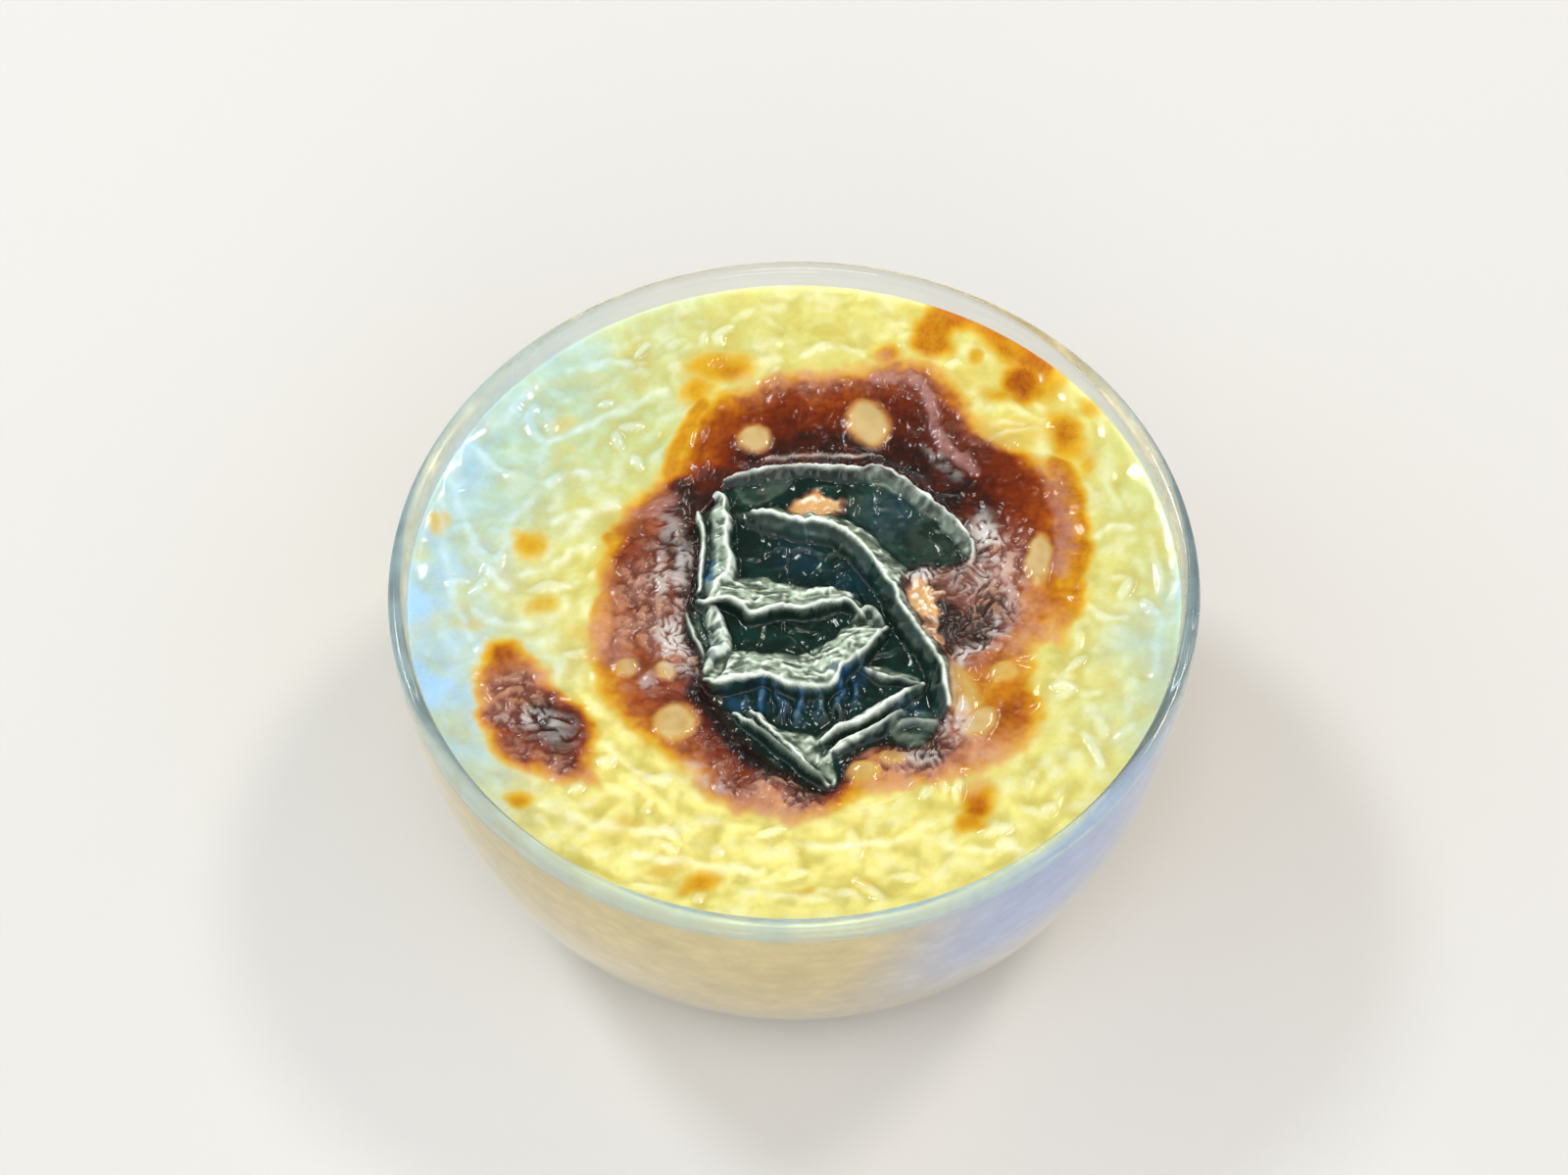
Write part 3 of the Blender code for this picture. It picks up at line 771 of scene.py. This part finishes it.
def skin_body(name, cells, x, y, z, colour, gloss, rings):
    """A closed body: the skin's grid on top, rings of (x, y, z) points down its side, a flat base."""
    edge = disc_edge(cells)
    n = cells + 1
    index = np.arange(n * n).reshape(n, n)
    quads = [index[:-1, :-1], index[1:, :-1], index[1:, 1:], index[:-1, 1:]]
    points, faces = [np.stack([x, y, z], 1)], [np.stack(quads, -1).reshape(-1, 4)]
    previous, count = edge, n * n
    for ring_points in rings:
        points.append(ring_points)
        ring = np.arange(count, count + len(edge))
        count += len(edge)
        faces.append(np.stack([previous, ring, np.roll(ring, -1), np.roll(previous, -1)], 1))
        previous = ring
    points.append(rings[-1].mean(0)[None])
    cap = [(int(a), int(b), count) for a, b in zip(np.roll(previous, -1), previous)]
    all_points = np.vstack(points) * MM
    mesh = bpy.data.meshes.new(name)
    mesh.from_pydata(all_points.tolist(), [], np.vstack(faces).tolist() + cap)
    mesh.update()
    mesh.shade_smooth()
    tints = np.ones((len(all_points), 4))
    tints[:len(x), :3] = colour
    tints[len(x):, :3] = side_colour(all_points[len(x):] / MM)
    shine = np.full(len(all_points), WET)
    shine[:len(x)] = gloss
    mesh.attributes.new("tint", "FLOAT_COLOR", "POINT").data.foreach_set("color", tints.ravel())
    mesh.attributes.new("gloss", "FLOAT", "POINT").data.foreach_set("value", shine.astype(np.float32))
    return mesh


def pudding_line():
    """The glass's inside from the contact line down to the floor, just inside the glass."""
    contact = BOWL_HEIGHT - RIM_TO_CONTACT
    line = [point for point in inner_line[::4] if point[1] < contact - 0.6]
    line.append((WALL_RADIUS - GLASS + FLARE * (contact / BOWL_HEIGHT) ** 3, contact))
    outwards = []
    for i, (radius, z) in enumerate(line):
        before, after = line[max(i - 1, 0)], line[min(i + 1, len(line) - 1)]
        run, rise = after[0] - before[0], after[1] - before[1]
        length = math.hypot(run, rise)
        outwards.append((radius + INTO_GLASS * rise / length, z - INTO_GLASS * run / length))
    return outwards[::-1]


side_line = pudding_line()
SKIN_RADIUS = side_line[0][0]


def oval_radius(x, y):
    return np.hypot((x - OVAL_CENTRE[0]) / OVAL_HALF[0], (y - OVAL_CENTRE[1]) / OVAL_HALF[1])


def pudding_mesh():
    x, y = disc_plan(SKIN_CELLS, SKIN_RADIUS, SKIN_SPREAD)
    masks = skin_masks(x, y)
    z = skin_height(x, y, masks)
    crest = sharpness(z, SKIN_CELLS, 4, 0.14)
    edge = disc_edge(SKIN_CELLS)
    z[edge] = side_line[0][1]
    z -= OVAL_SINK * ease(-oval_radius(x, y), -0.955, -0.925)
    turn = np.arctan2(y[edge], x[edge])
    rings = []
    for radius, height in side_line[1:] + [(FLOOR_RADIUS * 0.66, GLASS_FLOOR - INTO_GLASS)]:
        rings.append(np.stack([radius * np.cos(turn), radius * np.sin(turn), np.full(len(turn), height)], 1))
    colour = skin_colour(x, y, masks, crest)
    return skin_body("rice_pudding", SKIN_CELLS, x, y, z, colour, gloss_of(masks), rings)


def baked_skin():
    """Milk skin, raw to charred, in the colours of its tint attribute, which carry painted highlights and
    shade, finely broken up; rice shows at the sides.
    """
    material, tree = new_material("baked_skin")
    coords = tree.nodes.new("ShaderNodeTexCoord").outputs["Object"]
    tint = add_node(tree, "ShaderNodeAttribute", {"attribute_name": "tint"}).outputs["Color"]
    gloss = add_node(tree, "ShaderNodeAttribute", {"attribute_name": "gloss"}).outputs["Fac"]
    dryness = maths(tree, "SUBTRACT", gloss, 0.16)
    fine = add_node(tree, "ShaderNodeTexNoise", Vector=coords, Scale=1500.0, Detail=3.0)
    grain_strength = maths(tree, "MULTIPLY_ADD", dryness, 6.0, 0.1)
    grain = maths(tree, "MULTIPLY", maths(tree, "SUBTRACT", fine, 0.5), grain_strength)
    cloudy = add_node(tree, "ShaderNodeTexNoise", Vector=coords, Scale=210.0, Detail=2.0)
    lying = add_node(tree, "ShaderNodeVectorMath", {"operation": "MULTIPLY"}, i0=coords, i1=(1.0, 1.0, 1.7))
    cells = add_node(tree, "ShaderNodeTexVoronoi", Vector=lying, Scale=290.0)
    place = add_node(tree, "ShaderNodeSeparateXYZ", Vector=coords).outputs
    under_skin = ease_node(tree, place["Z"], 42 * MM, 38 * MM)
    rice = maths(tree, "MULTIPLY", ease_node(tree, cells.outputs["Distance"], 0.75, 0.10), under_skin)
    shade = maths(tree, "ADD", grain, maths(tree, "MULTIPLY_ADD", cloudy, 0.36, 0.82))
    shade = maths(tree, "MULTIPLY_ADD", rice, 0.12, shade)
    colour = add_node(tree, "ShaderNodeVectorMath", {"operation": "SCALE"}, i0=tint, Scale=shade)
    strength = maths(tree, "MULTIPLY_ADD", dryness, 3.0, 0.05)
    bump = add_node(tree, "ShaderNodeBump", Height=fine, Distance=0.12 * MM, Strength=strength)
    shader = add_node(
        tree, "ShaderNodeBsdfPrincipled", Base_Color=colour, Roughness=gloss, IOR=1.38,
        Coat_Weight=0.08, Coat_Roughness=0.08, Subsurface_Weight=0.12,
        Subsurface_Radius=(1.0, 0.7, 0.35), Subsurface_Scale=0.8 * MM, Normal=bump,
    )
    add_node(tree, "ShaderNodeOutputMaterial", Surface=shader)
    return material


def add_pudding_piece(mesh, material):
    piece = bpy.data.objects.new(mesh.name, mesh)
    piece.data.materials.append(material)
    scene.collection.objects.link(piece)
    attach(piece, "root")
    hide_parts("pudding")


skin_material = baked_skin()
add_pudding_piece(pudding_mesh(), skin_material)

# ------------------------------------------------------------------------------------------------
# Charred skin. The middle of the milk skin, blistered up, burnt black and fallen into folds as it
# cooled. A closed patch laid in the pudding; its border dives under the browned skin round it.
# ------------------------------------------------------------------------------------------------
CHAR_CELLS = 284
OVER_SKIN = 0.03
BORDER_DIVE = 1.0
SLIMMEST = 0.9
# Folds whose steep slope at the right reaches less than this carry painted shade below their crest.
HANGING = 0.85

# Linear colours of the burnt skin, of the spots the fire spared, and of the painted sheen and highlights on
# its folds.
BURNT_EDGE = (0.020, 0.009, 0.006)
CHARCOAL = (0.006, 0.018, 0.013)
GREEN_CHAR = (0.006, 0.032, 0.024)
BLUE_CHAR = (0.018, 0.105, 0.240)
ASH_AND_SHEEN = (0.52, 0.63, 0.47)
ASH_HIGHLIGHT = (0.95, 1.0, 0.92)
LIP_HIGHLIGHT = (0.74, 0.60, 0.52)
PEACH = (0.74, 0.42, 0.20)
PEACH_HIGHLIGHT = (1.0, 0.84, 0.66)

# Folds: height, reach of the slope at the left and at the right, the lit crest (its height, half
# width and paleness) where there is one, and the path. Millimetres, as everywhere in this section.
FOLDS = (
    (1, 1, 1.8, (.3, .5, .95), ((-14.8, 19.5), (-12, 21), (-8, 21.6), (-4, 22.4), (0, 23.2), (5, 22.6),
        (9, 22), (12, 22.7), (15, 21.6), (18, 18.6), (21, 15.6), (24, 12), (26, 8.4), (25.6, 5.4))),
    (2.5, 3.2, 2.4, (.3, .5, 1), ((-5.8, 15.2), (-2, 13.7), (1, 12.8), (4, 12.6), (7, 11.3), (9, 9.4),
        (11, 6.5), (13, 3.4), (14.5, .4), (15.2, -2), (17, -6), (19.4, -9.4), (20.6, -12), (20.9, -16),
        (21.4, -19))),
    (2.1, 3.6, 1.3, (.3, .4, 1), ((-12.6, -.5), (-10.5, 2.6), (-9.2, 5), (-9.3, 9), (-9.8, 13),
        (-9.7, 17), (-11, 18.4))),
    (1.3, .9, .8, (.2, .35, .9), ((-13.6, 1.5), (-13, 6), (-12.8, 11), (-13.8, 15.5))),
    (2.3, 5.2, .6, (.2, .35, 1), ((-13.5, -.3), (-10, -.4), (-7.7, -1.6), (-6.4, -3.4), (-4.7, -3.2),
        (-3.2, -1.9), (0, -2.3), (3, -2.1), (5.5, -1), (8.2, -1.4), (9.6, -2.8))),
    (1.9, 1.8, .9, None, ((-12.7, -12), (-11.8, -9.6), (-9.6, -8.2), (-9.7, -5.4), (-11, -2.4),
        (-13, -.2))),
    (2.6, 6.4, .6, (.2, .35, 1), ((-12.8, -13.8), (-10.5, -15.6), (-8, -14.7), (-5, -13.9), (-2, -14.5),
        (0, -15.8), (3, -16.1), (5.6, -15.4), (6.1, -13), (8, -11.4), (10.2, -9.4), (11.6, -7.2),
        (12.9, -5.3))),
    (1.2, .8, 1, None, ((8.3, -3.6), (10.4, -1.2), (12.2, -3), (12.8, -5.2))),
    (1.5, .9, .8, None, ((9.8, -11.8), (12, -14), (15, -14.2), (17.8, -14.9))),
    (1.8, .9, .8, (.2, .35, 1), ((-8.6, -19.3), (-5, -22.6), (-2, -25.6), (1, -28.6), (4.2, -31.4))),
    (1.7, 1.7, .6, (.2, .3, .9), ((-6.4, -19), (-3.2, -23), (0, -26.8), (3, -29.8))),
    (2.1, 1.5, .7, (.2, .35, 1), ((3.5, -24), (6, -22.6), (10, -20.6), (14, -18), (17.8, -14.9))),
    (1.6, .7, 1.7, (.2, .3, .9), ((4.5, -25.8), (7, -24.4), (11, -22.2), (14.8, -19.2))),
    (.9, .9, .8, (.2, .3, .6), ((-15.3, -1.2), (-15.2, -4.5), (-13, -8.4), (-13, -10.6))),
    (.9, .9, .9, None, ((13, -22.6), (15.5, -20.6), (19, -21.4), (20.4, -20))),
)
# Ashen parts of the folds, pale partly from ashen skin and partly from a painted sheen where their faces
# catch the light: how pale, and the outline.
ASH_AND_SHEEN_PARTS = (
    (.8, ((-14.5, 16), (-13.5, 18), (-11, 18.6), (-9.3, 17.5), (-8.9, 14), (-9.3, 10), (-8.9, 6.5),
        (-7.5, 4), (-10, 2.5), (-13, 1.5), (-13.8, 6), (-12.9, 11), (-14, 14))),
    (1, ((-13.5, 3), (-11, 2), (-8.5, 4.2), (-6, 4.1), (-2, 3.2), (2, 2.4), (5, 2), (8.5, .5),
        (8.4, -1.4), (5.5, -1), (3, -2.1), (0, -2.3), (-3, -1.9), (-4.6, -3.3), (-6.3, -3.6),
        (-7.7, -1.6), (-10, -.4), (-13, .2))),
    (.85, ((-12.5, .5), (-11, -1), (-9.5, -4), (-9, -7), (-9.3, -9.5), (-12, -10), (-11.7, -6),
        (-12.8, -3), (-13.4, -.5))),
    (1, ((-12.7, -8.5), (-9.3, -8), (-7, -8.6), (-4, -9.4), (0, -9.4), (3, -8), (5, -7.3), (7, -5.4),
        (9, -3.8), (11.5, -4.2), (13, -5.2), (11.7, -7.2), (10.3, -9.3), (8, -11.4), (6.1, -12.9),
        (5.6, -15.4), (3, -16), (0, -15.8), (-2, -14.6), (-5, -13.9), (-8, -14.7), (-10.5, -15.6),
        (-12.7, -13.8), (-13, -11.5))),
    (.85, ((-6, 15.8), (-3, 15.4), (1, 14.2), (4, 14), (8, 12.6), (11, 10.4), (13.4, 7.2), (15.4, 4),
        (15, .5), (14, 1), (12.6, 3.2), (10.6, 6.5), (8.6, 9.2), (6.8, 11), (4, 12.3), (1, 12.5),
        (-2, 13.4))),
    (.5, ((13.8, 1), (15.2, .8), (17.4, -4), (20.4, -9), (22.2, -13), (22.4, -18.5), (21.2, -18.5),
        (20.6, -13), (18.8, -9.3), (16, -5))),
    (.85, ((-9.4, -19.2), (-6.4, -18.4), (-3.4, -21.4), (-1, -22.4), (3, -23), (4, -25), (4.8, -27),
        (5.6, -30.5), (4.2, -31.8), (1, -28.9), (-3, -24.9), (-6, -21.9))),
    (.9, ((18.2, -14.4), (15, -16), (11, -19.2), (7, -21), (3, -22.4), (3, -24.8), (5.5, -26.2), (8, -25),
        (11, -22.6), (15, -19.4), (18, -16))),
    (.75, ((9.8, -10.8), (12, -11), (15, -12.8), (17.8, -13.5), (17, -15.6), (14, -15.3), (12, -14.9),
        (10, -13.5))),
    (.45, ((7.5, -1.2), (10.5, -.6), (12.8, -3.2), (12.8, -5.5), (10.5, -6), (8.6, -4))),
    (.22, ((-15.6, -2), (-14, -1), (-13, -5), (-12, -8), (-13, -10.5), (-15, -8), (-16.2, -4.5))),
    (.05, ((8, 21), (14, 21.3), (19, 17.3), (24, 11), (26, 7), (24.5, 5.6), (20, 5), (16.4, 5),
        (14.2, 8.5), (9.8, 12.8), (8, 15))),
    (.42, ((11, 22.6), (14.5, 22), (18.5, 18.2), (22, 14.6), (25.8, 9), (25, 6), (24, 9), (21.2, 12.6),
        (17.8, 16), (14, 19.4), (10.5, 20.6))),
    (.12, ((-9, 21), (-4, 21.8), (0, 22.4), (0, 20), (-4, 17), (-7, 17))),
    (.2, ((14, -20), (18, -18.5), (20.5, -21), (17.5, -25.8), (14.5, -25), (12.5, -22.5))),
    (.55, ((7.6, 14.2), (11.6, 10.8), (14.4, 7), (16.4, 4.8), (15.6, 3), (13, 7), (10, 10.4), (7, 12.6))),
)
# The folds' crests and loose ones between them, each with a pale painted highlight: height, half width, how
# pale, and the path.
CRESTS = [(*crest, path) for *_, crest, path in FOLDS if crest]
CRESTS += [
    (.5, .45, .6, ((-5, 24), (0, 24.8), (8, 24.6), (14, 24.8), (17, 23.2), (19.5, 20.8), (23, 17.5),
        (26, 13.6))),
    (.3, .4, .5, ((8, 12.8), (12, 9.6), (14.6, 6), (15.6, 3.4))),
    (.4, .3, .8, ((-11.3, 13), (-11, 8), (-10.4, 4))),
    (.4, .4, .9, ((-13, 1.4), (-10, 1.6), (-7.5, .9), (-5.5, -.6), (-3.5, .4), (0, .2), (4, .8),
        (7, .6))),
    (.3, .3, .8, ((-8, 3.4), (-5, 3.4), (-2.6, 2), (.5, 1.6), (3, 1.8))),
    (.4, .4, .9, ((-12.6, -12.5), (-10, -13), (-7, -11.6), (-4, -10.8), (-2, -11.6), (0, -13.6),
        (3, -14.6))),
    (.4, .4, .9, ((-11, -9.5), (-7, -9.6), (-3, -10.4), (.5, -11.3), (2.5, -11.6), (5.5, -9.6),
        (8.5, -7))),
    (.3, .3, .9, ((1, -9), (4, -9.3), (7, -7.2), (10.6, -5.2))),
]
BLUE_SPOTS = (
    (-12.6, 18.9, 1.7, 1.4, 0, .9), (-11.9, 4.6, 1.2, 2.4, 0, .9), (-11.3, -8.3, .7, 3, 0, .9),
    (-4.6, -16.6, 2.4, 2.6, 0, .5), (.6, -17.6, 2.6, 2.6, 0, .55), (6.8, -14.6, 2, 3.4, 10, .65),
    (15.5, -19, 2.4, 2, 0, .3), (9.4, -12.4, 1, 1.6, 0, .4), (1, 8, 3.4, 3.4, 0, .12),
    (8, 3, 3, 3, 0, .12), (14, 15, 4, 4, 0, .12), (-8.2, -17.4, 2, 1, -40, .4),
)
# The pleated hollow: where it starts, is full, is still full and ends, first in x and then in y.
HOLLOW = ((-8, -6, 8, 10), (-21.5, -19.5, -14.5, -13))
SPARED_SPOTS = (
    (3.6, 16.4, 3.7, 2.3, 5, 1), (18.4, -.8, 2.1, 3.4, 10, 1), (19.8, -6.6, 1, 2.8, 20, .7),
)


def soften(z, cells):
    """The grid with each point averaged with its neighbours."""
    grid = np.pad(z.reshape(cells + 1, cells + 1), 1, "edge")
    grid = (grid[:-2] + 2 * grid[1:-1] + grid[2:]) / 4
    return ((grid[:, :-2] + 2 * grid[:, 1:-1] + grid[:, 2:]) / 4).ravel()


def fold_heights(x, y, wobbly):
    """Height of the folds in millimetres, and the painted shade where skin hangs steeply at the right of a
    crest.
    """
    height, cliff_shade = np.zeros(x.shape), np.zeros(x.shape)
    for tall, left, right, _, path in FOLDS:
        distance, side, inner = from_line(smooth_line(path, cuts=4), *wobbly)
        reach = SLIMMEST + (left - SLIMMEST) * ease(inner, 0.0, 3.5)
        gentle = np.clip(1 - distance / reach, 0, 1) ** 1.2
        steep = np.clip(1 - distance / max(right, SLIMMEST), 0, 1)
        tall = tall * (0.4 + 0.6 * ease(inner, 0.0, 3.0)) * (0.9 + 0.2 * ripple(x, y, 4.0, 251))
        height = np.maximum(height, tall * np.where(side > 0, gentle, steep))
        if right < HANGING:
            fallen_shade = ease(distance, 0.12, 0.40) * ease(-distance, -right - 1.6, -right - 0.4)
            cliff_shade = np.maximum(cliff_shade, np.where(side < 0, fallen_shade, 0.0))
    return height, cliff_shade


def ash_sheen_and_crests(x, y, wobbly):
    """How ashen the folds are, with a painted sheen on their lit faces and painted highlights along their
    crests, and the height that their crests add, in millimetres.
    """
    ash_and_sheen, rise = np.zeros(x.shape), np.zeros(x.shape)
    streak = ease(rough(wobbly[0] * 0.7, wobbly[1] * 1.3, 2.2, 241), -0.45, 0.25)
    for paleness, outline in ASH_AND_SHEEN_PARTS:
        depth = inside_depth(outline, *wobbly)
        ash_and_sheen = np.maximum(ash_and_sheen, paleness * ease(depth, -0.30, 0.30) * (0.25 + 0.75 * streak))
    broken = 0.70 + 0.80 * ripple(x, y, 2.4, 255)
    for tall, half_width, paleness, path in CRESTS:
        distance = from_line(smooth_line(path, cuts=4), *wobbly)[0]
        rise += 0.25 * tall * broken * np.exp(-((distance / half_width) ** 2))
        ash_and_sheen = np.maximum(ash_and_sheen, paleness * (0.35 + broken) * np.exp(-((distance / (half_width * 0.62)) ** 2)))
    return ash_and_sheen, rise


def charred_relief(x, y):
    """Height of the charred folds in millimetres, how ashen they are with their painted sheen and
    highlights, and how blue the hollows.
    """
    wobbly = (x, y) + 0.34 * drift(x, y, 3.2, (211, 231), 2)
    height, cliff_shade = fold_heights(x, y, wobbly)
    ash_and_sheen, rise = ash_sheen_and_crests(x, y, wobbly)
    height += rise
    height -= 0.6 * (1 - ease(height, 0.0, 0.9))
    # Painted shade: the pale sheen fades on the steep sides below the crests.
    ash_and_sheen = np.clip(ash_and_sheen, 0, 1) * (1 - 0.85 * cliff_shade)
    bent = wobbly + 0.8 * drift(x, y, 2.4, (263, 265))
    crumpled = 0.60 * creases(bent[0], bent[1] * 1.2, 3.4, 261, 3) + 0.12 * rough(x, y, 1.2, 267, 2)
    smoother = 0.30 * creases(*bent, 4.4, 285, 2) + 0.26 * rough(x, y, 3.2, 281, 2)
    height += ash_and_sheen * crumpled + (1 - ash_and_sheen) * smoother
    pleats = 0.5 + 0.5 * np.sin(wobbly[0] * 2.3 + 1.5 * ripple(x, y, 3.0, 301))
    hollow = np.ones(x.shape)
    for place, (start, full, still_full, end) in zip(wobbly, HOLLOW):
        hollow *= ease(place, start, full) * ease(-place, -end, -still_full)
    height += 0.8 * hollow * pleats * (1 - ease(height, 0.5, 1.5))
    blue = spot_field(BLUE_SPOTS, *wobbly, 0.6)
    blue = np.where(hollow > 0.3, blue * (0.15 + 1.2 * pleats**2), blue)
    return soften(height, CHAR_CELLS), ash_and_sheen, blue


def charred_mesh():
    u, v = disc_plan(CHAR_CELLS, 1.0)
    x, y = OVAL_CENTRE[0] + OVAL_HALF[0] * u, OVAL_CENTRE[1] + OVAL_HALF[1] * v
    masks = skin_masks(x, y)
    folds, ash_and_sheen, blue = charred_relief(x, y)
    spared = spot_field(SPARED_SPOTS, *((x, y) + 1.1 * drift(x, y, 2.4, (461, 465), 2)), 0.35)
    char = ease(masks.depth, -0.5, 0.4) * (1 - spared)
    z = skin_height(x, y, masks) + OVER_SKIN
    z += folds * np.maximum(char, 0.8 * ease(masks.depth, -1.8, 0.2))
    z += 0.30 * spared * billows(x, y, 2.4, 471, 1)
    crest = sharpness(z, CHAR_CELLS, 3, 0.18)
    masks.bake = masks.bake * (1 - spared) + spared * (0.20 + 0.10 * rough(x, y, 2.0, 321))
    burnt = mix(CHARCOAL, GREEN_CHAR, ease(rough(x, y, 3.4, 341), -0.2, 0.6))
    for layer, share in (
        (BLUE_CHAR, blue),
        (ASH_AND_SHEEN, ash_and_sheen),
        # Painted highlights on the crests and painted shade in the creases.
        (ASH_HIGHLIGHT, ash_and_sheen * ease(crest, 0.15, 0.9)),
        (CHARCOAL, 0.8 * np.clip(-crest, 0, 1)),
        (ASH_AND_SHEEN, 0.10 * ease(crest, 0.2, 1.0)),
        (BURNT_EDGE, ease(-masks.depth - 0.8 * rough(x, y, 3.0, 451), -1.8, 0.2) * (1 - ash_and_sheen)),
    ):
        burnt = mix(burnt, layer, share)
    colour = skin_colour(x, y, masks, crest)
    for layer, share in (
        (PEACH, 0.75 * spared),
        # A painted highlight on the crests of the spared spots.
        (PEACH_HIGHLIGHT, spared * ease(crest + 0.6 * ripple(x, y, 1.3, 475), 0.0, 0.7)),
        # A painted pinkish highlight along the lip outside the charred middle.
        (LIP_HIGHLIGHT, ash_and_sheen * ease(masks.depth, -4.2, -2.0) * (1 - char)),
        (burnt, char),
    ):
        colour = mix(colour, layer, share)
    gloss = gloss_of(masks) * (1 - char) + (0.16 + 0.05 * ash_and_sheen) * char
    edge = disc_edge(CHAR_CELLS)
    z -= BORDER_DIVE * ease(oval_radius(x, y), 0.965, 1.0)
    low = np.stack([x[edge], y[edge], np.full(len(edge), z[edge].min() - BORDER_DIVE)], 1)
    return skin_body("charred_skin", CHAR_CELLS, x, y, z, colour, gloss, [low])


add_pudding_piece(charred_mesh(), skin_material)

# ------------------------------------------------------------------------------------------------
# Stage. A pale matt floor, four soft lamps (cool at the left, warm at the right, one overhead and
# one in front) and a bright sky with a bluish patch low at either side.
# ------------------------------------------------------------------------------------------------
FLOOR_HALF = 3.0


def pale_floor():
    material, tree = new_material("pale_floor")
    shader = add_node(tree, "ShaderNodeBsdfPrincipled", Roughness=0.7, Base_Color=(0.74, 0.72, 0.69))
    add_node(tree, "ShaderNodeOutputMaterial", Surface=shader)
    return material


floor_mesh = bpy.data.meshes.new("floor")
corners = [(-1, -1), (1, -1), (1, 1), (-1, 1)]
floor_mesh.from_pydata([(x * FLOOR_HALF, y * FLOOR_HALF, 0.0) for x, y in corners], [], [(0, 1, 2, 3)])
floor_mesh.materials.append(pale_floor())
floor = bpy.data.objects.new("floor", floor_mesh)
scene.collection.objects.link(floor)

# Lamps: the place, the size and the power of each, and its colour.
LAMPS = {
    "cool_lamp": ((-0.62, 0.52, 0.90), 0.22, 4.7, (0.90, 0.96, 1.0)),
    "warm_lamp": ((0.58, 0.42, 0.98), 0.20, 3.7, (1.0, 0.93, 0.80)),
    "top_lamp": ((-0.05, -0.22, 1.15), 0.30, 1.4, (1.0, 0.99, 0.95)),
    "front_lamp": ((0.10, -1.10, 0.50), 0.50, 1.8, (1.0, 0.97, 0.92)),
}
for name, (place, size, power, colour) in LAMPS.items():
    data = bpy.data.lights.new(name, "AREA")
    data.size = size
    data.energy = power
    data.color = colour
    light = bpy.data.objects.new(name, data)
    facing = Vector(place).to_track_quat("Z", "Y").to_matrix().to_4x4()
    light.matrix_world = Matrix.Translation(place) @ facing
    scene.collection.objects.link(light)

# The sky is brighter overhead, and dim in the part that the wet skin mirrors. The glows are soft
# patches of it: the direction they lie in, their strength and their colour.
SKY_COLOUR = (1.0, 0.985, 0.96)
DIM_TOWARDS = (0.0, 0.56, 0.83)
SKY_GLOWS = (
    ((-0.95, -0.10, 0.30), 0.60, (0.62, 0.84, 1.0)),
    ((0.74, -0.62, 0.25), 0.60, (0.32, 0.48, 1.0)),
)


def sky_patch(tree, direction, towards, low, high):
    """1 where the sky's direction lies close to towards, fading to 0."""
    together = add_node(tree, "ShaderNodeVectorMath", {"operation": "DOT_PRODUCT"}, i0=direction, i1=towards)
    return ease_node(tree, together.outputs["Value"], low, high)


def studio_world():
    world = bpy.data.worlds.new("studio")
    world.use_nodes = True
    tree = world.node_tree
    tree.nodes.clear()
    direction = tree.nodes.new("ShaderNodeTexCoord").outputs["Generated"]
    height = add_node(tree, "ShaderNodeSeparateXYZ", i0=direction).outputs["Z"]
    sky = maths(tree, "MULTIPLY_ADD", ease_node(tree, height, 0.15, 0.55), 0.56, 0.48)
    dim = sky_patch(tree, direction, DIM_TOWARDS, 0.56, 0.82)
    light = maths(tree, "MULTIPLY", sky, maths(tree, "MULTIPLY_ADD", dim, -0.88, 1.0))
    total = add_node(tree, "ShaderNodeBackground", Color=SKY_COLOUR, Strength=light)
    for towards, strength, colour in SKY_GLOWS:
        bright = maths(tree, "MULTIPLY", sky_patch(tree, direction, towards, 0.66, 1.0), strength)
        glow = add_node(tree, "ShaderNodeBackground", Color=colour, Strength=bright)
        total = add_node(tree, "ShaderNodeAddShader", i0=total, i1=glow)
    add_node(tree, "ShaderNodeOutputWorld", Surface=total)
    return world


scene.world = studio_world()
